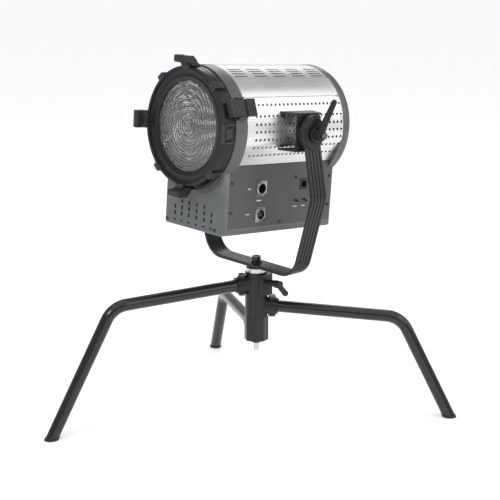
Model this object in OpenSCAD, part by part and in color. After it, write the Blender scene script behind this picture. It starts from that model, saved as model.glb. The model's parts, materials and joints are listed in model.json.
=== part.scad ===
// Studio fresnel spotlight in a tilting yoke, standing on a low three-leg turtle base.
// Millimetres. +Z is up, the lamp shines along -Y, and its socket side faces +X.
// The floor is z = 0, and the origin is the middle of the footprint.
$fn = 64;

/* [Legs] */
// Outside diameter of the leg tubes
leg_d = 25; // [22:0.5:27]
// Wall of the leg tubes
leg_wall = 1.5; // [1:0.5:3]
// Centreline radius of the bend in each leg
leg_bend_r = 50; // [40:5:60]
// Fall of the upper part of each leg, in degrees
leg_slope = 3; // [2:0.5:5]
// Top leg: compass angle, height at the hub, reach of the bend, reach of the foot
top_leg_set = [-108.8, 276.6, 311.6, 446.4]; // [-180:0.1:500]
// Middle leg: the same four values
middle_leg_set = [40.5, 228.9, 299.7, 406.6]; // [-180:0.1:500]
// Lower leg: the same four values
lower_leg_set = [151.8, 180.4, 306.2, 404.7]; // [-180:0.1:500]

/* [Hub] */
// Outside diameter of the two round hub castings
hub_d = 47; // [44:1:52]
// Height of the floor side of the lower casting
hub_bottom_z = 153.4; // [150:0.2:156]
// Height of the top face of the hub
hub_top_z = 300; // [296:1:304]
// Diameter of the post that the swivelling castings turn on
post_d = 30; // [28:1:32]
// Diameter of the lamp's mounting spigot (1 1/8 inch size)
spigot_d = 28; // [26:0.5:28.5]
// Height of the clamp screw that grips the spigot
clamp_z = 283; // [280:1:286]

/* [Yoke] */
// Width of the flat bar
yoke_w = 40; // [34:1:44]
// Thickness of the flat bar
yoke_t = 6.5; // [5:0.5:8]
// Height of the bar's underside
yoke_z = 313.4; // [312:0.2:316]
// Half width of the yoke where its lower corners end
yoke_corner_x = 140; // [136:1:144]
// Height at which its lower corners end
yoke_corner_z = 358; // [354:1:362]
// Half width of the yoke at the widest bend
yoke_knee_x = 179; // [174:1:182]
// Height of the widest bend
yoke_knee_z = 483; // [476:1:490]

/* [Lamp head] */
// Height of the tilt axis
head_z = 608; // [600:1:620]
// Upward tilt of the lamp at rest, in degrees
head_tilt = 4.7; // [0:0.1:8]
// Outside radius of the barrel
barrel_r = 118.5; // [116:0.5:120]
// Front and rear edges of the barrel's silver skin, ahead of the tilt axis
barrel_front = 130.5; // [126:0.5:134]
barrel_rear = -124.5; // [-128:0.5:-120]
// Angle below level at which the silver skin turns flat
barrel_crease = 12; // [9:1:14]
// Front face of the black bezel, ahead of the tilt axis
bezel_front = 190; // [186:1:194]
// Radius of the lens that shows
lens_r = 87; // [84:1:89]
// Number of steps in the lens
lens_steps = 14; // [8:1:20]
// Rear face of the rear ring, behind the tilt axis
rear_face = 152.5; // [150:0.5:156]
// Half width of the lower housing
box_x = 87.3; // [85:0.1:90]
// Depth of the lower housing's floor below the lamp's axis
box_z = 203; // [198:1:208]
// Front and rear of the lower housing, from the tilt axis
box_front = 156; // [152:1:158]
box_rear = 141.5; // [138:0.5:144]

/* [Fits] */
// Radial clearance of turning fits
run = 0.05; // [0.02:0.01:0.1]
// Gap between faces that move past each other
gap = 0.3; // [0.2:0.05:0.5]

/* [Hidden] */

leg_r = leg_d / 2;
hub_r = hub_d / 2;
post_r = post_d / 2;
spigot_r = spigot_d / 2;

// Colours
black = [0.12, 0.13, 0.14];
soft_black = [0.18, 0.19, 0.2];
grey = [0.4, 0.42, 0.42];
silver = [0.85, 0.85, 0.86];
zinc = [0.7, 0.7, 0.72];

// ---- Placing ----

// Plan position of a point at a given reach along a leg's compass angle
function along(angle, reach) = [reach * cos(angle), reach * sin(angle)];
function foot_of(set) = along(set[0], set[3]);

// The hub stands off the origin, so that the origin is the middle of the three feet.
hub_x = -(foot_of(lower_leg_set).x + foot_of(middle_leg_set).x) / 2;
hub_y = -(foot_of(top_leg_set).y + foot_of(middle_leg_set).y) / 2;

module at_hub() translate([hub_x, hub_y, 0]) children();

// Lamp-head space: x is towards the sockets, y is back, z is up from the lamp's axis.
module in_head() at_hub() translate([0, 0, head_z]) rotate([-head_tilt, 0, 0]) children();

// Turns a profile of [radius, distance ahead of the tilt axis] around the lamp's axis.
module turned(profile) rotate([90, 0, 0]) rotate_extrude($fn = 128) polygon(profile);

// Part of a turn, from one angle above the +X side to another.
module part_turned(profile, from, to)
    rotate([90, 0, 0]) rotate_extrude(start = from, angle = to - from, $fn = 128) polygon(profile);

// A rod along the lamp's axis, from one distance ahead of the tilt axis to another.
module axial(r, from, to, x = 0, z = 0)
    translate([x, -to, z]) rotate([-90, 0, 0]) cylinder(r = r, h = to - from);

// A rod along X.
module crosswise(r, from, to, y = 0, z = 0)
    translate([from, y, z]) rotate([0, 90, 0]) cylinder(r = r, h = to - from);

// A block given by its lowest and highest corners.
module block(low, high) translate(low) cube(high - low);

// Both sides of the lamp.
module both_sides() {
    children();
    mirror([1, 0, 0]) children();
}

// Outline of a slot-shaped plate, upright, with round ends.
function stadium(w, h, n = 16) = concat(
    [for (i = [0 : n]) [w / 2 * cos(180 * i / n), (h - w) / 2 + w / 2 * sin(180 * i / n)]],
    [for (i = [0 : n]) [-w / 2 * cos(180 * i / n), -(h - w) / 2 - w / 2 * sin(180 * i / n)]]);

// ---- Turtle base ----

bolt_reach = 33;          // where the cross bolt passes through a leg
bolt_shank_r = 4;
pad_half = 18;            // from a leg's axis to the face under a bolt head or nut
socket_reach = 46;        // outer end of a leg socket
socket_r = 16.5;
leg_start = 19;           // inner end of a leg tube
foot_h = 5;               // rubber showing under a tube
foot_lip = 0.8;           // rubber standing out past the tube
plug_h = 22;

module on_leg(set) at_hub() rotate([0, 0, set[0]]) children();

function bend_z(set) = set[1] - set[2] * tan(leg_slope);
function drop(set) = atan2(bend_z(set), set[3] - set[2]);
function bend_set_back(set) = leg_bend_r * tan((drop(set) - leg_slope) / 2);
function upper_len(set) = set[2] / cos(leg_slope) - bend_set_back(set);

// Rod along the upper part of a leg, between two distances from the hub axis.
module upper_rod(set, r, from, to)
    translate([0, 0, set[1]]) rotate([0, 90 + leg_slope, 0])
        translate([0, 0, from]) cylinder(r = r, h = to - from);

// Rod down the lower part of a leg, from the end of the bend to past the floor.
module lower_rod(set, r)
    translate([set[2], 0, bend_z(set)]) rotate([0, 90 + drop(set), 0])
        translate([0, 0, bend_set_back(set)]) cylinder(r = r, h = 400);

bend_steps = 10;
tube_sides = 32;

// Direction [x, z] of a leg that falls at an angle.
function falling(angle) = [cos(angle), -sin(angle)];

// Centreline of a leg as [x, z, fall]: straight, an arc, then straight past the floor.
function leg_line(set, from) = let (
    start = [0, set[1]] + falling(leg_slope) * from,
    arc_start = [0, set[1]] + falling(leg_slope) * upper_len(set),
    centre = arc_start - leg_bend_r * [sin(leg_slope), cos(leg_slope)],
    past = [set[3], 0] + falling(drop(set)) * 30)
    concat([[start.x, start.y, leg_slope]],
           [for (i = [0 : bend_steps]) let (
                fall = leg_slope + (drop(set) - leg_slope) * i / bend_steps,
                p = centre + leg_bend_r * [sin(fall), cos(fall)]) [p.x, p.y, fall]],
           [[past.x, past.y, drop(set)]]);

// One solid rod that follows a leg's centreline.
module leg_rod(set, r, from) {
    line = leg_line(set, from);
    n = tube_sides;
    rings = len(line);
    points = [for (p = line, k = [0 : n - 1]) let (a = 360 * k / n)
        [p[0] + r * sin(a) * sin(p[2]), r * cos(a), p[1] + r * sin(a) * cos(p[2])]];
    sides = [for (i = [0 : rings - 2], k = [0 : n - 1]) let (j = (k + 1) % n)
        [i * n + k, (i + 1) * n + k, (i + 1) * n + j, i * n + j]];
    polyhedron(points, concat(sides, [[for (k = [0 : n - 1]) k]],
                              [[for (k = [n - 1 : -1 : 0]) (rings - 1) * n + k]]), 4);
}

module floor_slab(z) translate([0, -60, z - 500]) cube([600, 120, 500]);

module cross_bolt_hole(set)
    translate([bolt_reach, 0, set[1] - 40]) cylinder(r = bolt_shank_r + 0.1, h = 80);

module leg(set) color(black) on_leg(set) difference() {
    leg_rod(set, leg_r, leg_start);
    leg_rod(set, leg_r - leg_wall, leg_start - 1);
    cross_bolt_hole(set);
    floor_slab(foot_h);
}

// Rubber foot: a lip flat on the floor and a plug up inside the tube.
module foot(set) color(soft_black) on_leg(set) {
    intersection() {
        lower_rod(set, leg_r + foot_lip);
        translate([0, -60, 0]) cube([600, 120, foot_h]);
    }
    intersection() {
        lower_rod(set, leg_r - leg_wall - 0.3);
        translate([0, -60, foot_h]) cube([600, 120, plug_h]);
    }
}

module top_leg() leg(top_leg_set);
module middle_leg() leg(middle_leg_set);
module lower_leg() leg(lower_leg_set);
module top_foot() foot(top_leg_set);
module middle_foot() foot(middle_leg_set);
module lower_foot() foot(lower_leg_set);

module hexagon(across, h) cylinder(d = across / cos(30), h = h, $fn = 6);

// Cross bolt that pins a leg in its socket: head and washer above, nut below.
module leg_bolt(set) color(zinc) on_leg(set) translate([bolt_reach, 0, 0]) {
    seat_z = set[1] - bolt_reach * tan(leg_slope);
    translate([0, 0, seat_z - pad_half]) cylinder(r = bolt_shank_r, h = 2 * pad_half);
    translate([0, 0, seat_z + pad_half]) cylinder(r = 7.5, h = 1.5);
    translate([0, 0, seat_z + pad_half + 1.5]) hexagon(13, 4);
    translate([0, 0, seat_z - pad_half - 4.5]) hexagon(13, 4.5);
}

module top_leg_bolt() leg_bolt(top_leg_set);
module middle_leg_bolt() leg_bolt(middle_leg_set);
module lower_leg_bolt() leg_bolt(lower_leg_set);

// Pads above and below a leg socket, where the cross bolt bears.
module bolt_pads(set) {
    seat_z = set[1] - bolt_reach * tan(leg_slope);
    translate([bolt_reach, 0, seat_z - pad_half]) cylinder(r = 9, h = 2 * pad_half);
}

module socket_bores(set) {
    upper_rod(set, leg_r + 0.05, leg_start - 0.2, 70);
    cross_bolt_hole(set);
}

// Hub casting round or eight-sided in plan, with one leg socket.
module casting(set, low, high, sides) on_leg(set) difference() {
    union() {
        translate([0, 0, low]) rotate([0, 0, 180 / sides])
            cylinder(r = sides > 12 ? hub_r : hub_r / cos(180 / sides), h = high - low, $fn = sides);
        upper_rod(set, socket_r, 8, socket_reach);
        bolt_pads(set);
    }
    socket_bores(set);
    if (high < hub_top_z) translate([0, 0, low - 20]) cylinder(r = post_r + run, h = high - low + 40);
}

middle_low = 205;
top_low = 250;

// The post's foot ends inside the lower casting, above a web that only the tie rod passes.
web_h = 6.6;
rod_r = 5.7;

module lower_casting() color(soft_black) {
    on_leg(lower_leg_set) difference() {
        union() {
            translate([0, 0, hub_bottom_z]) rotate([0, 0, 22.5])
                cylinder(r = hub_r / cos(22.5), h = middle_low - gap - hub_bottom_z, $fn = 8);
            upper_rod(lower_leg_set, socket_r, 8, socket_reach);
            bolt_pads(lower_leg_set);
        }
        socket_bores(lower_leg_set);
        translate([0, 0, hub_bottom_z + web_h]) cylinder(r = post_r + run, h = 80);
        translate([0, 0, hub_bottom_z - 1]) cylinder(r = rod_r + 0.1, h = web_h + 2);
    }
}

module middle_casting() color(black)
    casting(middle_leg_set, middle_low, top_low - gap, 64);

clamp_angle = 6;          // compass angle of the clamp screw
clamp_boss_x = 31;
receiver_floor_z = 254;

module top_casting() color(black) difference() {
    union() {
        casting(top_leg_set, top_low, hub_top_z, 64);
        at_hub() rotate([0, 0, clamp_angle])
            block([8, -15, top_low + 4], [clamp_boss_x, 15, hub_top_z - 2]);
    }
    at_hub() {
        translate([0, 0, receiver_floor_z]) cylinder(r = spigot_r + run, h = 60);
        translate([0, 0, top_low - 1]) cylinder(r = rod_r + 0.1, h = 10);
        rotate([0, 0, clamp_angle]) crosswise(4 + run, 5, 60, 0, clamp_z);
    }
}

module swivel_post() color(zinc) at_hub() difference() {
    translate([0, 0, hub_bottom_z + web_h + 0.2])
        cylinder(r = post_r, h = top_low - hub_bottom_z - web_h - 0.2);
    translate([0, 0, hub_bottom_z]) cylinder(r = rod_r + 0.1, h = 120);
}

module tie_rod() color(zinc) at_hub() {
    translate([0, 0, 130]) cylinder(r = rod_r, h = receiver_floor_z - 130.2);
}

module tie_nut() color(zinc) at_hub() difference() {
    union() {
        translate([0, 0, 146]) cylinder(r1 = 8.5, r2 = 13.5, h = 4);
        translate([0, 0, 150]) cylinder(r = 13.5, h = hub_bottom_z - 0.1 - 150);
    }
    translate([0, 0, 140]) cylinder(r = rod_r + 0.02, h = 20);
}

// Clamp screw with a one-sided lever, which hangs down and back at rest.
lever_hub_x = 58;
lever_drop = 46;
module spigot_lever() color(black) at_hub() rotate([0, 0, clamp_angle]) {
    crosswise(4, spigot_r + 0.4, lever_hub_x + 2, 0, clamp_z);
    crosswise(6.5, clamp_boss_x + 6, lever_hub_x - 6, 0, clamp_z);
    crosswise(8, lever_hub_x - 6, lever_hub_x + 8, 0, clamp_z);
    translate([lever_hub_x + 1, 0, clamp_z]) rotate([-90 - lever_drop, 0, 0]) {
        cylinder(r1 = 5.5, r2 = 6.2, h = 34);
        translate([0, 0, 34]) sphere(r = 6.2);
    }
}

// ---- Yoke ----

shoulder_h = 9.6;
washer_h = 3;

module spigot() color(zinc) at_hub() difference() {
    union() {
        translate([0, 0, receiver_floor_z + 0.4])
            cylinder(r = spigot_r, h = hub_top_z - receiver_floor_z);
        translate([0, 0, hub_top_z + 0.2]) cylinder(r = 21.5, h = shoulder_h);
    }
    translate([0, 0, hub_top_z - 16]) cylinder(r = 6.1, h = 40);
}

module yoke_washer() color(black) at_hub() difference() {
    translate([0, 0, hub_top_z + 0.2 + shoulder_h])
        cylinder(r = 17, h = yoke_z - hub_top_z - 0.2 - shoulder_h);
    translate([0, 0, hub_top_z]) cylinder(r = 6.3, h = 40);
}

module yoke_bolt() color(zinc) at_hub() {
    bar_top = yoke_z + yoke_t;
    translate([0, 0, hub_top_z - 15]) cylinder(r = 6, h = bar_top - hub_top_z + 15);
    translate([0, 0, bar_top]) cylinder(r = 12, h = 2);
    difference() {
        translate([0, 0, bar_top + 2]) cylinder(r = 9.3, h = 11);
        translate([0, 0, bar_top + 7]) hexagon(8, 7);
    }
}

bracket_x = 148.6;        // outer face of a lamp bracket, from the lamp's middle
bracket_plate = 4;
disc_t = 4;
boss_in = bracket_x + disc_t + gap;
boss_t = 14;
boss_w = 52;
boss_h = 70;

// Centreline of the bar as [x, z] points, with its corners rounded.
function unit(v) = v / norm(v);
function rounded(a, b, c, r, n) = let (
    u = unit(a - b), w = unit(c - b),
    half = acos(u * w) / 2,
    centre = b + unit(u + w) * r / sin(half),
    start = b + u * r / tan(half) - centre, end = b + w * r / tan(half) - centre,
    a0 = atan2(start.y, start.x),
    a1 = atan2(end.y, end.x),
    sweep = a1 - a0 > 180 ? a1 - a0 - 360 : a1 - a0 < -180 ? a1 - a0 + 360 : a1 - a0)
    [for (i = [0 : n]) centre + r * [cos(a0 + sweep * i / n), sin(a0 + sweep * i / n)]];

bar_mid_z = yoke_z + yoke_t / 2;
knee = [yoke_knee_x, yoke_knee_z];
shin = unit(knee - [yoke_corner_x, yoke_corner_z]);
heel = [yoke_corner_x - (yoke_corner_z - bar_mid_z) * shin.x / shin.y, bar_mid_z];
strap_end = [boss_in + boss_t / 2 - 0.5, head_z - 8];
half_line = concat([[0, bar_mid_z]], rounded([0, bar_mid_z], heel, knee, 48, 10),
                   rounded(heel, knee, strap_end, 34, 5), [strap_end]);
last = len(half_line) - 1;
bar_line = concat([for (i = [last : -1 : 1]) [-half_line[i].x, half_line[i].y]], half_line);

// The bar's line moved sideways by an offset: positive is away from the lamp.
function beside(line, off) = [for (i = [0 : len(line) - 1]) let (
    heading = unit(line[min(i + 1, len(line) - 1)] - line[max(i - 1, 0)]))
    line[i] + off * [heading.y, -heading.x]];
function reversed(line) = [for (i = [len(line) - 1 : -1 : 0]) line[i]];

module boss_blank() translate([boss_in, 0, head_z]) rotate([90, 0, 90]) linear_extrude(boss_t)
    polygon(stadium(boss_w, boss_h));

module yoke() color(soft_black) at_hub() difference() {
    translate([0, yoke_w / 2, 0]) rotate([90, 0, 0]) linear_extrude(yoke_w)
        polygon(concat(beside(bar_line, yoke_t / 2), reversed(beside(bar_line, -yoke_t / 2))));
    translate([0, 0, yoke_z - 1]) cylinder(r = 6.2, h = 20);
    both_sides() boss_blank();
}

module yoke_bosses() color(soft_black) at_hub() both_sides() difference() {
    boss_blank();
    crosswise(5 + run, boss_in - 1, boss_in + boss_t + 1, 0, head_z);
}

// ---- Tilt lock ----

lever_angle = 33;         // lean of the lever back from upright
lever_len = 76;
lever_low = boss_in + boss_t + gap;

module tilt_lever() color(soft_black) at_hub() translate([0, 0, head_z]) difference() {
    union() {
        crosswise(15, lever_low, lever_low + 5);
        crosswise(10.5, lever_low + 5, lever_low + 22);
        rotate([-lever_angle, 0, 0]) {
            translate([lever_low + 12, 0, 6]) cylinder(r1 = 7.5, r2 = 5.5, h = lever_len - 12);
            translate([lever_low + 12, 0, lever_len - 6]) sphere(r = 5.5);
        }
    }
    crosswise(5 + run, 0, lever_low + 17);
    crosswise(3.1, 0, 300);
}

module lever_screw() color(zinc) at_hub() translate([0, 0, head_z]) {
    crosswise(3, lever_low + 18, lever_low + 22);
    crosswise(6.5, lever_low + 22, lever_low + 27);
}

// Bracket: a channel with a wide root on the barrel, open to the front and the back.
bracket_low = -36;
bracket_high = 39;

module side_brackets() color(grey) in_head() both_sides() difference() {
    translate([0, 0, bracket_low]) linear_extrude(bracket_high - bracket_low)
        polygon([[100, -46], [118, -42], [bracket_x, -31], [bracket_x, 31], [118, 42], [100, 46]]);
    block([90, -60, bracket_low + bracket_plate],
          [bracket_x - bracket_plate, 60, bracket_high - bracket_plate]);
    barrel_blank();
    crosswise(5 + run, 100, 170);
}

module friction_discs() color(black) in_head() both_sides() difference() {
    crosswise(27, bracket_x, bracket_x + disc_t);
    crosswise(5.1, 100, 170);
}

// Pivot bolts: fixed in the lamp's brackets, with the head inside the bracket.
module pivot_bolts() color(zinc) in_head() both_sides() {
    crosswise(5, bracket_x - bracket_plate, lever_low + 14);
    crosswise(10, bracket_x - bracket_plate - 5, bracket_x - bracket_plate);
}

module pivot_cap() color(soft_black) in_head() mirror([1, 0, 0]) difference() {
    union() {
        crosswise(15, lever_low, lever_low + 4);
        crosswise(11, lever_low + 4, lever_low + 18);
    }
    crosswise(5.02, 0, lever_low + 14.2);
}

// ---- Barrel ----

skin = 2.5;
skirt_z = -66.5;          // where the silver skin meets the lower housing
skin_top = 55.5;          // angle above level where the top panel takes over
skin_steps = 20;

// Section of one side of the skin: an arc, then a flat down to the housing.
function skin_line(r, end) = concat(
    [for (i = [0 : skin_steps]) let (a = skin_top - (skin_top + barrel_crease) * i / skin_steps)
        r * [cos(a), sin(a)]], [end]);

// Solid half of the barrel, to fit things on its skin.
module barrel_blank() translate([0, 100, 0]) rotate([90, 0, 0]) linear_extrude(200)
    polygon(concat([[0, barrel_r]], skin_line(barrel_r, [box_x + 0.2, skirt_z]), [[0, skirt_z]]));

module barrel_shell() color(silver) in_head() both_sides()
    translate([0, -barrel_rear, 0]) rotate([90, 0, 0]) linear_extrude(barrel_front - barrel_rear)
        polygon(concat(skin_line(barrel_r, [box_x + 0.2, skirt_z]),
                       reversed(skin_line(barrel_r - skin, [box_x - 2.4, skirt_z]))));

module top_vent_panel() color([0.78, 0.78, 0.78]) in_head()
    part_turned([[barrel_r - skin - 0.5, barrel_rear], [barrel_r - 0.4, barrel_rear],
                 [barrel_r - 0.4, barrel_front], [barrel_r - skin - 0.5, barrel_front]], 56, 124);

bezel_back = 160;

lens_t = 6;
lens_front = bezel_front - 9.8;
seat_back = bezel_back - 3;      // back of the flange that holds the lens seat

// Collar between skin and bezel. Its inner tube presses the lens against the bezel.
module front_collar() color(grey) in_head()
    turned([[106, barrel_front + 0.2], [barrel_r, barrel_front + 0.2],
            [barrel_r, bezel_back - 2], [barrel_r - 1, bezel_back - 0.2],
            [lens_r + 4.8, bezel_back - 0.2], [lens_r + 4.8, lens_front - lens_t - 0.1],
            [lens_r, lens_front - lens_t - 0.1], [lens_r, seat_back], [106, seat_back]]);

rim_r = 114.3;
seat_r = 109;             // inside of the rim, where an accessory frame sits
seat_depth = 5.5;

module front_bezel() color(black) in_head()
    turned([[lens_r + 5, bezel_back], [116, bezel_back], [116, bezel_front - 5],
            [rim_r, bezel_front], [seat_r, bezel_front], [seat_r, bezel_front - seat_depth],
            [lens_r, bezel_front - seat_depth - 2], [lens_r, bezel_front - 9.6],
            [lens_r + 5, bezel_front - 9.6]]);

step_w = (lens_r + 3) / lens_steps;

// Stepped front: a shallow dome in the middle, then sloping rings with sharp risers.
module fresnel_lens() color([0.75, 0.8, 0.8, 0.5]) in_head()
    turned(concat(
        [[0, lens_front - lens_t], [lens_r + 4.6, lens_front - lens_t], [lens_r + 4.6, lens_front],
         [lens_r + 3, lens_front]],
        [for (i = [lens_steps : -1 : 2]) each [[i * step_w, lens_front - 2.2],
                                               [(i - 1) * step_w, lens_front - 0.2]]],
        [[step_w, lens_front - 1.6], [step_w / 2, lens_front - 0.6], [0, lens_front - 0.2]]));

ear_w = 34;
ear_top = 136;
ear_front = 208;

module bezel_body()
    turned([[0, 140], [116, 140], [116, bezel_front - 5], [rim_r, bezel_front + 0.1],
            [0, bezel_front + 0.1]]);

// Accessory ear: rises from the rim and reaches forward over the edge of an accessory frame.
module ear(turn) rotate([0, turn, 0]) mirror([0, 1, 0])
    translate([-ear_w / 2, 0, 0]) rotate([90, 0, 90]) linear_extrude(ear_w)
        polygon([[163, 112], [186, 112], [186, 110], [194, 110], [194, 122], [ear_front, 122],
                 [ear_front, ear_top - 2], [ear_front - 2, ear_top], [186, ear_top], [163, 118]]);

module accessory_ears() color(black) in_head() difference() {
    for (turn = [0, -90, 180]) ear(turn);
    bezel_body();
}

latch_angle = 22;
latch_pin_y = 150;        // hinge pin, ahead of the tilt axis
latch_pin_r = 126;        // hinge pin, from the lamp's axis

module at_latch() in_head() rotate([0, 90 - latch_angle, 0]) children();

// Latch space: x is down the ring, y is back, z is out from the lamp's axis.
module latch_bracket() color(black) at_latch() {
    difference() {
        union() {
            block([-21, -159, barrel_r - 3], [-17.6, -141, latch_pin_r + 4]);
            block([17.6, -159, barrel_r - 3], [21, -141, latch_pin_r + 4]);
        }
        turned([[0, 100], [barrel_r, 100], [barrel_r, 200], [0, 200]]);
    }
    crosswise(2, -17.6, 17.6, -latch_pin_y, latch_pin_r);
}

module accessory_latch() color(soft_black) at_latch() difference() {
    translate([-ear_w / 2, 0, 0]) rotate([90, 0, 90]) linear_extrude(ear_w)
        polygon([[-118, 128], [-118, 134], [-122, 135], [-138, 131.5], [-172, 131.5], [-178, 129],
                 [-178, 118.5], [-172, 118.5], [-172, 122.5], [-138, 122.5]]);
    crosswise(2 + run, -40, 40, -latch_pin_y, latch_pin_r);
}

module rear_ring() color(grey) in_head()
    turned([[104, -rear_face + 6], [104, -rear_face], [112, -rear_face], [rim_r, -rear_face + 2],
            [barrel_r, -rear_face + 12], [barrel_r, barrel_rear - 0.2], [110, barrel_rear - 0.2],
            [110, -rear_face + 6]]);

knob_ahead = -rear_face + 2.6;   // outer face of the rear panel

module rear_panel() color(soft_black) in_head() difference() {
    axial(103.8, knob_ahead - 0.6, knob_ahead + 2);
    axial(5.2, -200, -100, 0, rail_z);
    axial(3.1, -200, -100, dimmer.x, dimmer.y);
    block([-62, 100, 18], [-2, 200, 52]);
}

// ---- Lower housing ----

wall = 2.5;
front_corner_r = 8;
panel_y = [-141, 136];    // ends of a side panel
panel_z = [-box_z + 13, skirt_z - 0.5];
inlet = [-28, -150];      // mains inlet and switch, as [x, z] on the rear wall
rocker = [22, -150];

// Plan of the housing with rounded corners.
function arc_points(centre, r, from, to, n = 6) =
    [for (i = [0 : n]) let (a = from + (to - from) * i / n) centre + r * [cos(a), sin(a)]];
function box_plan(inset) = let (x = box_x - inset, f = -box_front + inset, b = box_rear - inset,
    r = front_corner_r - inset, q = 5 - inset / 2) concat(
    arc_points([x - r, f + r], r, -90, 0), arc_points([x - q, b - q], q, 0, 90),
    arc_points([-x + q, b - q], q, 90, 180), arc_points([-x + r, f + r], r, 180, 270));

// Room in the housing for the round ends of the lamp.
module ring_room() {
    turned([[0, barrel_front], [barrel_r + 0.2, barrel_front], [barrel_r + 0.2, 200], [0, 200]]);
    turned([[0, -200], [barrel_r + 0.2, -200], [barrel_r + 0.2, barrel_rear], [0, barrel_rear]]);
}

module lower_housing() color(grey) in_head() difference() {
    translate([0, 0, -box_z]) linear_extrude(box_z + skirt_z - 0.3) polygon(box_plan(0));
    translate([0, 0, -box_z + wall]) linear_extrude(box_z) polygon(box_plan(wall));
    ring_room();
    both_sides() block([box_x - 5, panel_y[0], panel_z[0]], [box_x + 5, panel_y[1], 0]);
    block([-rear_wall_x, box_rear - wall - 1, rear_wall_low], [rear_wall_x, box_rear + 1, 0]);
}

// Wall behind the electrics, let into the back of the housing.
rear_wall_x = 78;
rear_wall_low = -box_z + 6;

module rear_wall() color(grey) in_head() difference() {
    block([-rear_wall_x + 0.2, box_rear - wall, rear_wall_low + 0.2],
          [rear_wall_x - 0.2, box_rear, skirt_z]);
    ring_room();
    block([inlet.x - 14, 130, inlet.y - 12], [inlet.x + 14, 160, inlet.y + 12]);
    block([rocker.x - 7, 130, rocker.y - 10], [rocker.x + 7, 160, rocker.y + 10]);
}

// Side plate let into the housing's wall.
module side_plate() difference() {
    block([box_x - wall, panel_y[0] + 0.2, panel_z[0] + 0.2], [box_x, panel_y[1] - 0.2, panel_z[1]]);
    ring_room();
}

xlr_y = -57;              // the two round sockets, ahead of the tilt axis
xlr_in_z = -114.5;
xlr_out_z = -166;
port_y = 58;
port_z = -112;
toggle_ys = [38, 61];
toggle_z = -143.5;

module right_panel() color([0.36, 0.35, 0.34]) in_head() difference() {
    side_plate();
    crosswise(12, 60, 100, xlr_y, xlr_in_z);
    crosswise(12, 60, 100, xlr_y, xlr_out_z);
    block([60, port_y - 8.5, port_z - 9.5], [100, port_y + 8.5, port_z + 9.5]);
    for (y = toggle_ys) crosswise(3.1, 60, 100, y, toggle_z);
}

module left_panel() color([0.36, 0.35, 0.34]) in_head() mirror([1, 0, 0]) side_plate();

module screw_head(y, z) {
    crosswise(3, box_x, box_x + 1.6, y, z);
}

module panel_screws() color(black) in_head() {
    both_sides() {
        for (y = [-134.5, 130], z = [-100, -158]) screw_head(y, z);
        screw_head(-3, -184);
        screw_head(35, -97);
    }
    for (p = [[-77, -194], [68, -193]]) axial(3, box_front, box_front + 1.6, p.x, p.y);
}

// Round three-pole socket: square flange, shell and insert.
module socket_body(z) {
    difference() {
        block([box_x, xlr_y - 13, z - 15.5], [box_x + 2, xlr_y + 13, z + 15.5]);
        crosswise(9.6, 60, 100, xlr_y, z);
    }
    difference() {
        crosswise(11.9, box_x - 22, box_x, xlr_y, z);
        crosswise(9.6, box_x - 20, 100, xlr_y, z);
    }
    difference() {
        crosswise(11.5, box_x + 2, box_x + 3.2, xlr_y, z);
        crosswise(9.6, 60, 100, xlr_y, z);
    }
}

module xlr_in() color(zinc) in_head() {
    socket_body(xlr_in_z);
    for (a = [90, 210, 330]) crosswise(1.2, box_x - 20, box_x - 8,
        xlr_y + 3.6 * cos(a), xlr_in_z + 3.6 * sin(a));
}

module xlr_out() color(zinc) in_head() {
    socket_body(xlr_out_z);
    difference() {
        crosswise(7.95, box_x - 20, box_x - 0.5, xlr_y, xlr_out_z);
        for (a = [90, 210, 330]) crosswise(1.4, box_x - 12, box_x + 5,
            xlr_y + 3.6 * cos(a), xlr_out_z + 3.6 * sin(a));
    }
}

module data_port() color(black) in_head() difference() {
    union() {
        block([box_x - 20, port_y - 8.3, port_z - 9.3], [box_x, port_y + 8.3, port_z + 9.3]);
        block([box_x, port_y - 10, port_z - 11], [box_x + 1.2, port_y + 10, port_z + 11]);
    }
    block([box_x - 15, port_y - 6, port_z - 6], [box_x + 5, port_y + 6, port_z + 6]);
}

// Small toggle: a bat lever that rocks in the panel.
module toggle(y) in_head() translate([box_x, y, toggle_z]) rotate([0, 90 + 12, 0])
    rotate_extrude($fn = 32) polygon([[0, -6], [1.5, -6], [1.5, -2.2], [2.6, -0.8], [2.8, 0.8],
        [1.5, 2.6], [1.9, 9.4], [1.2, 10.6], [0, 10.8]]);

module toggle_front() color(black) toggle(toggle_ys[0]);
module toggle_rear() color(black) toggle(toggle_ys[1]);

// ---- Focus drive inside the barrel ----

rail_x = 60;
rail_z = -72;
rail_bracket_y = -126;
led_front = 30;           // front of the light source at full spot
screw_r = 5;
nut_len = 20;

module focus_rails() color(zinc) in_head() {
    for (s = [-1, 1]) axial(4, knob_ahead + 2, 128, s * rail_x, rail_z);
    difference() {
        block([-box_x + wall, rail_bracket_y - 2, -90], [box_x - wall, rail_bracket_y + 2, rail_z + 10]);
        for (s = [-1, 1]) axial(4.02, -150, 150, s * rail_x, rail_z);
        axial(screw_r + run, -150, 150, 0, rail_z);
    }
}

module carriage() color([0.3, 0.3, 0.32]) in_head() difference() {
    union() {
        block([-56, -20, rail_z - 12], [56, -16, 58]);
        for (s = [-1, 1]) axial(8, 4, 36, s * rail_x, rail_z);
        axial(9, 16 - nut_len, 20, 0, rail_z);
    }
    for (s = [-1, 1]) axial(4 + run, -10, 60, s * rail_x, rail_z);
    axial(screw_r + run, -10, 60, 0, rail_z);
}

module led_module() color([0.9, 0.85, 0.6]) in_head() {
    axial(34, 20, 23);
    axial(21, 23, led_front - 3);
    difference() {
        axial(28, 23, led_front);
        axial(21.5, 20, led_front + 5);
    }
}

fin_count = 15;
module heat_sink() color(zinc) in_head() {
    block([-54, -16, -26], [54, -10, 54]);
    for (i = [0 : fin_count - 1])
        translate([-54 + i * (108 - 1.6) / (fin_count - 1), -10, -26]) cube([1.6, 44, 80]);
}

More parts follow.
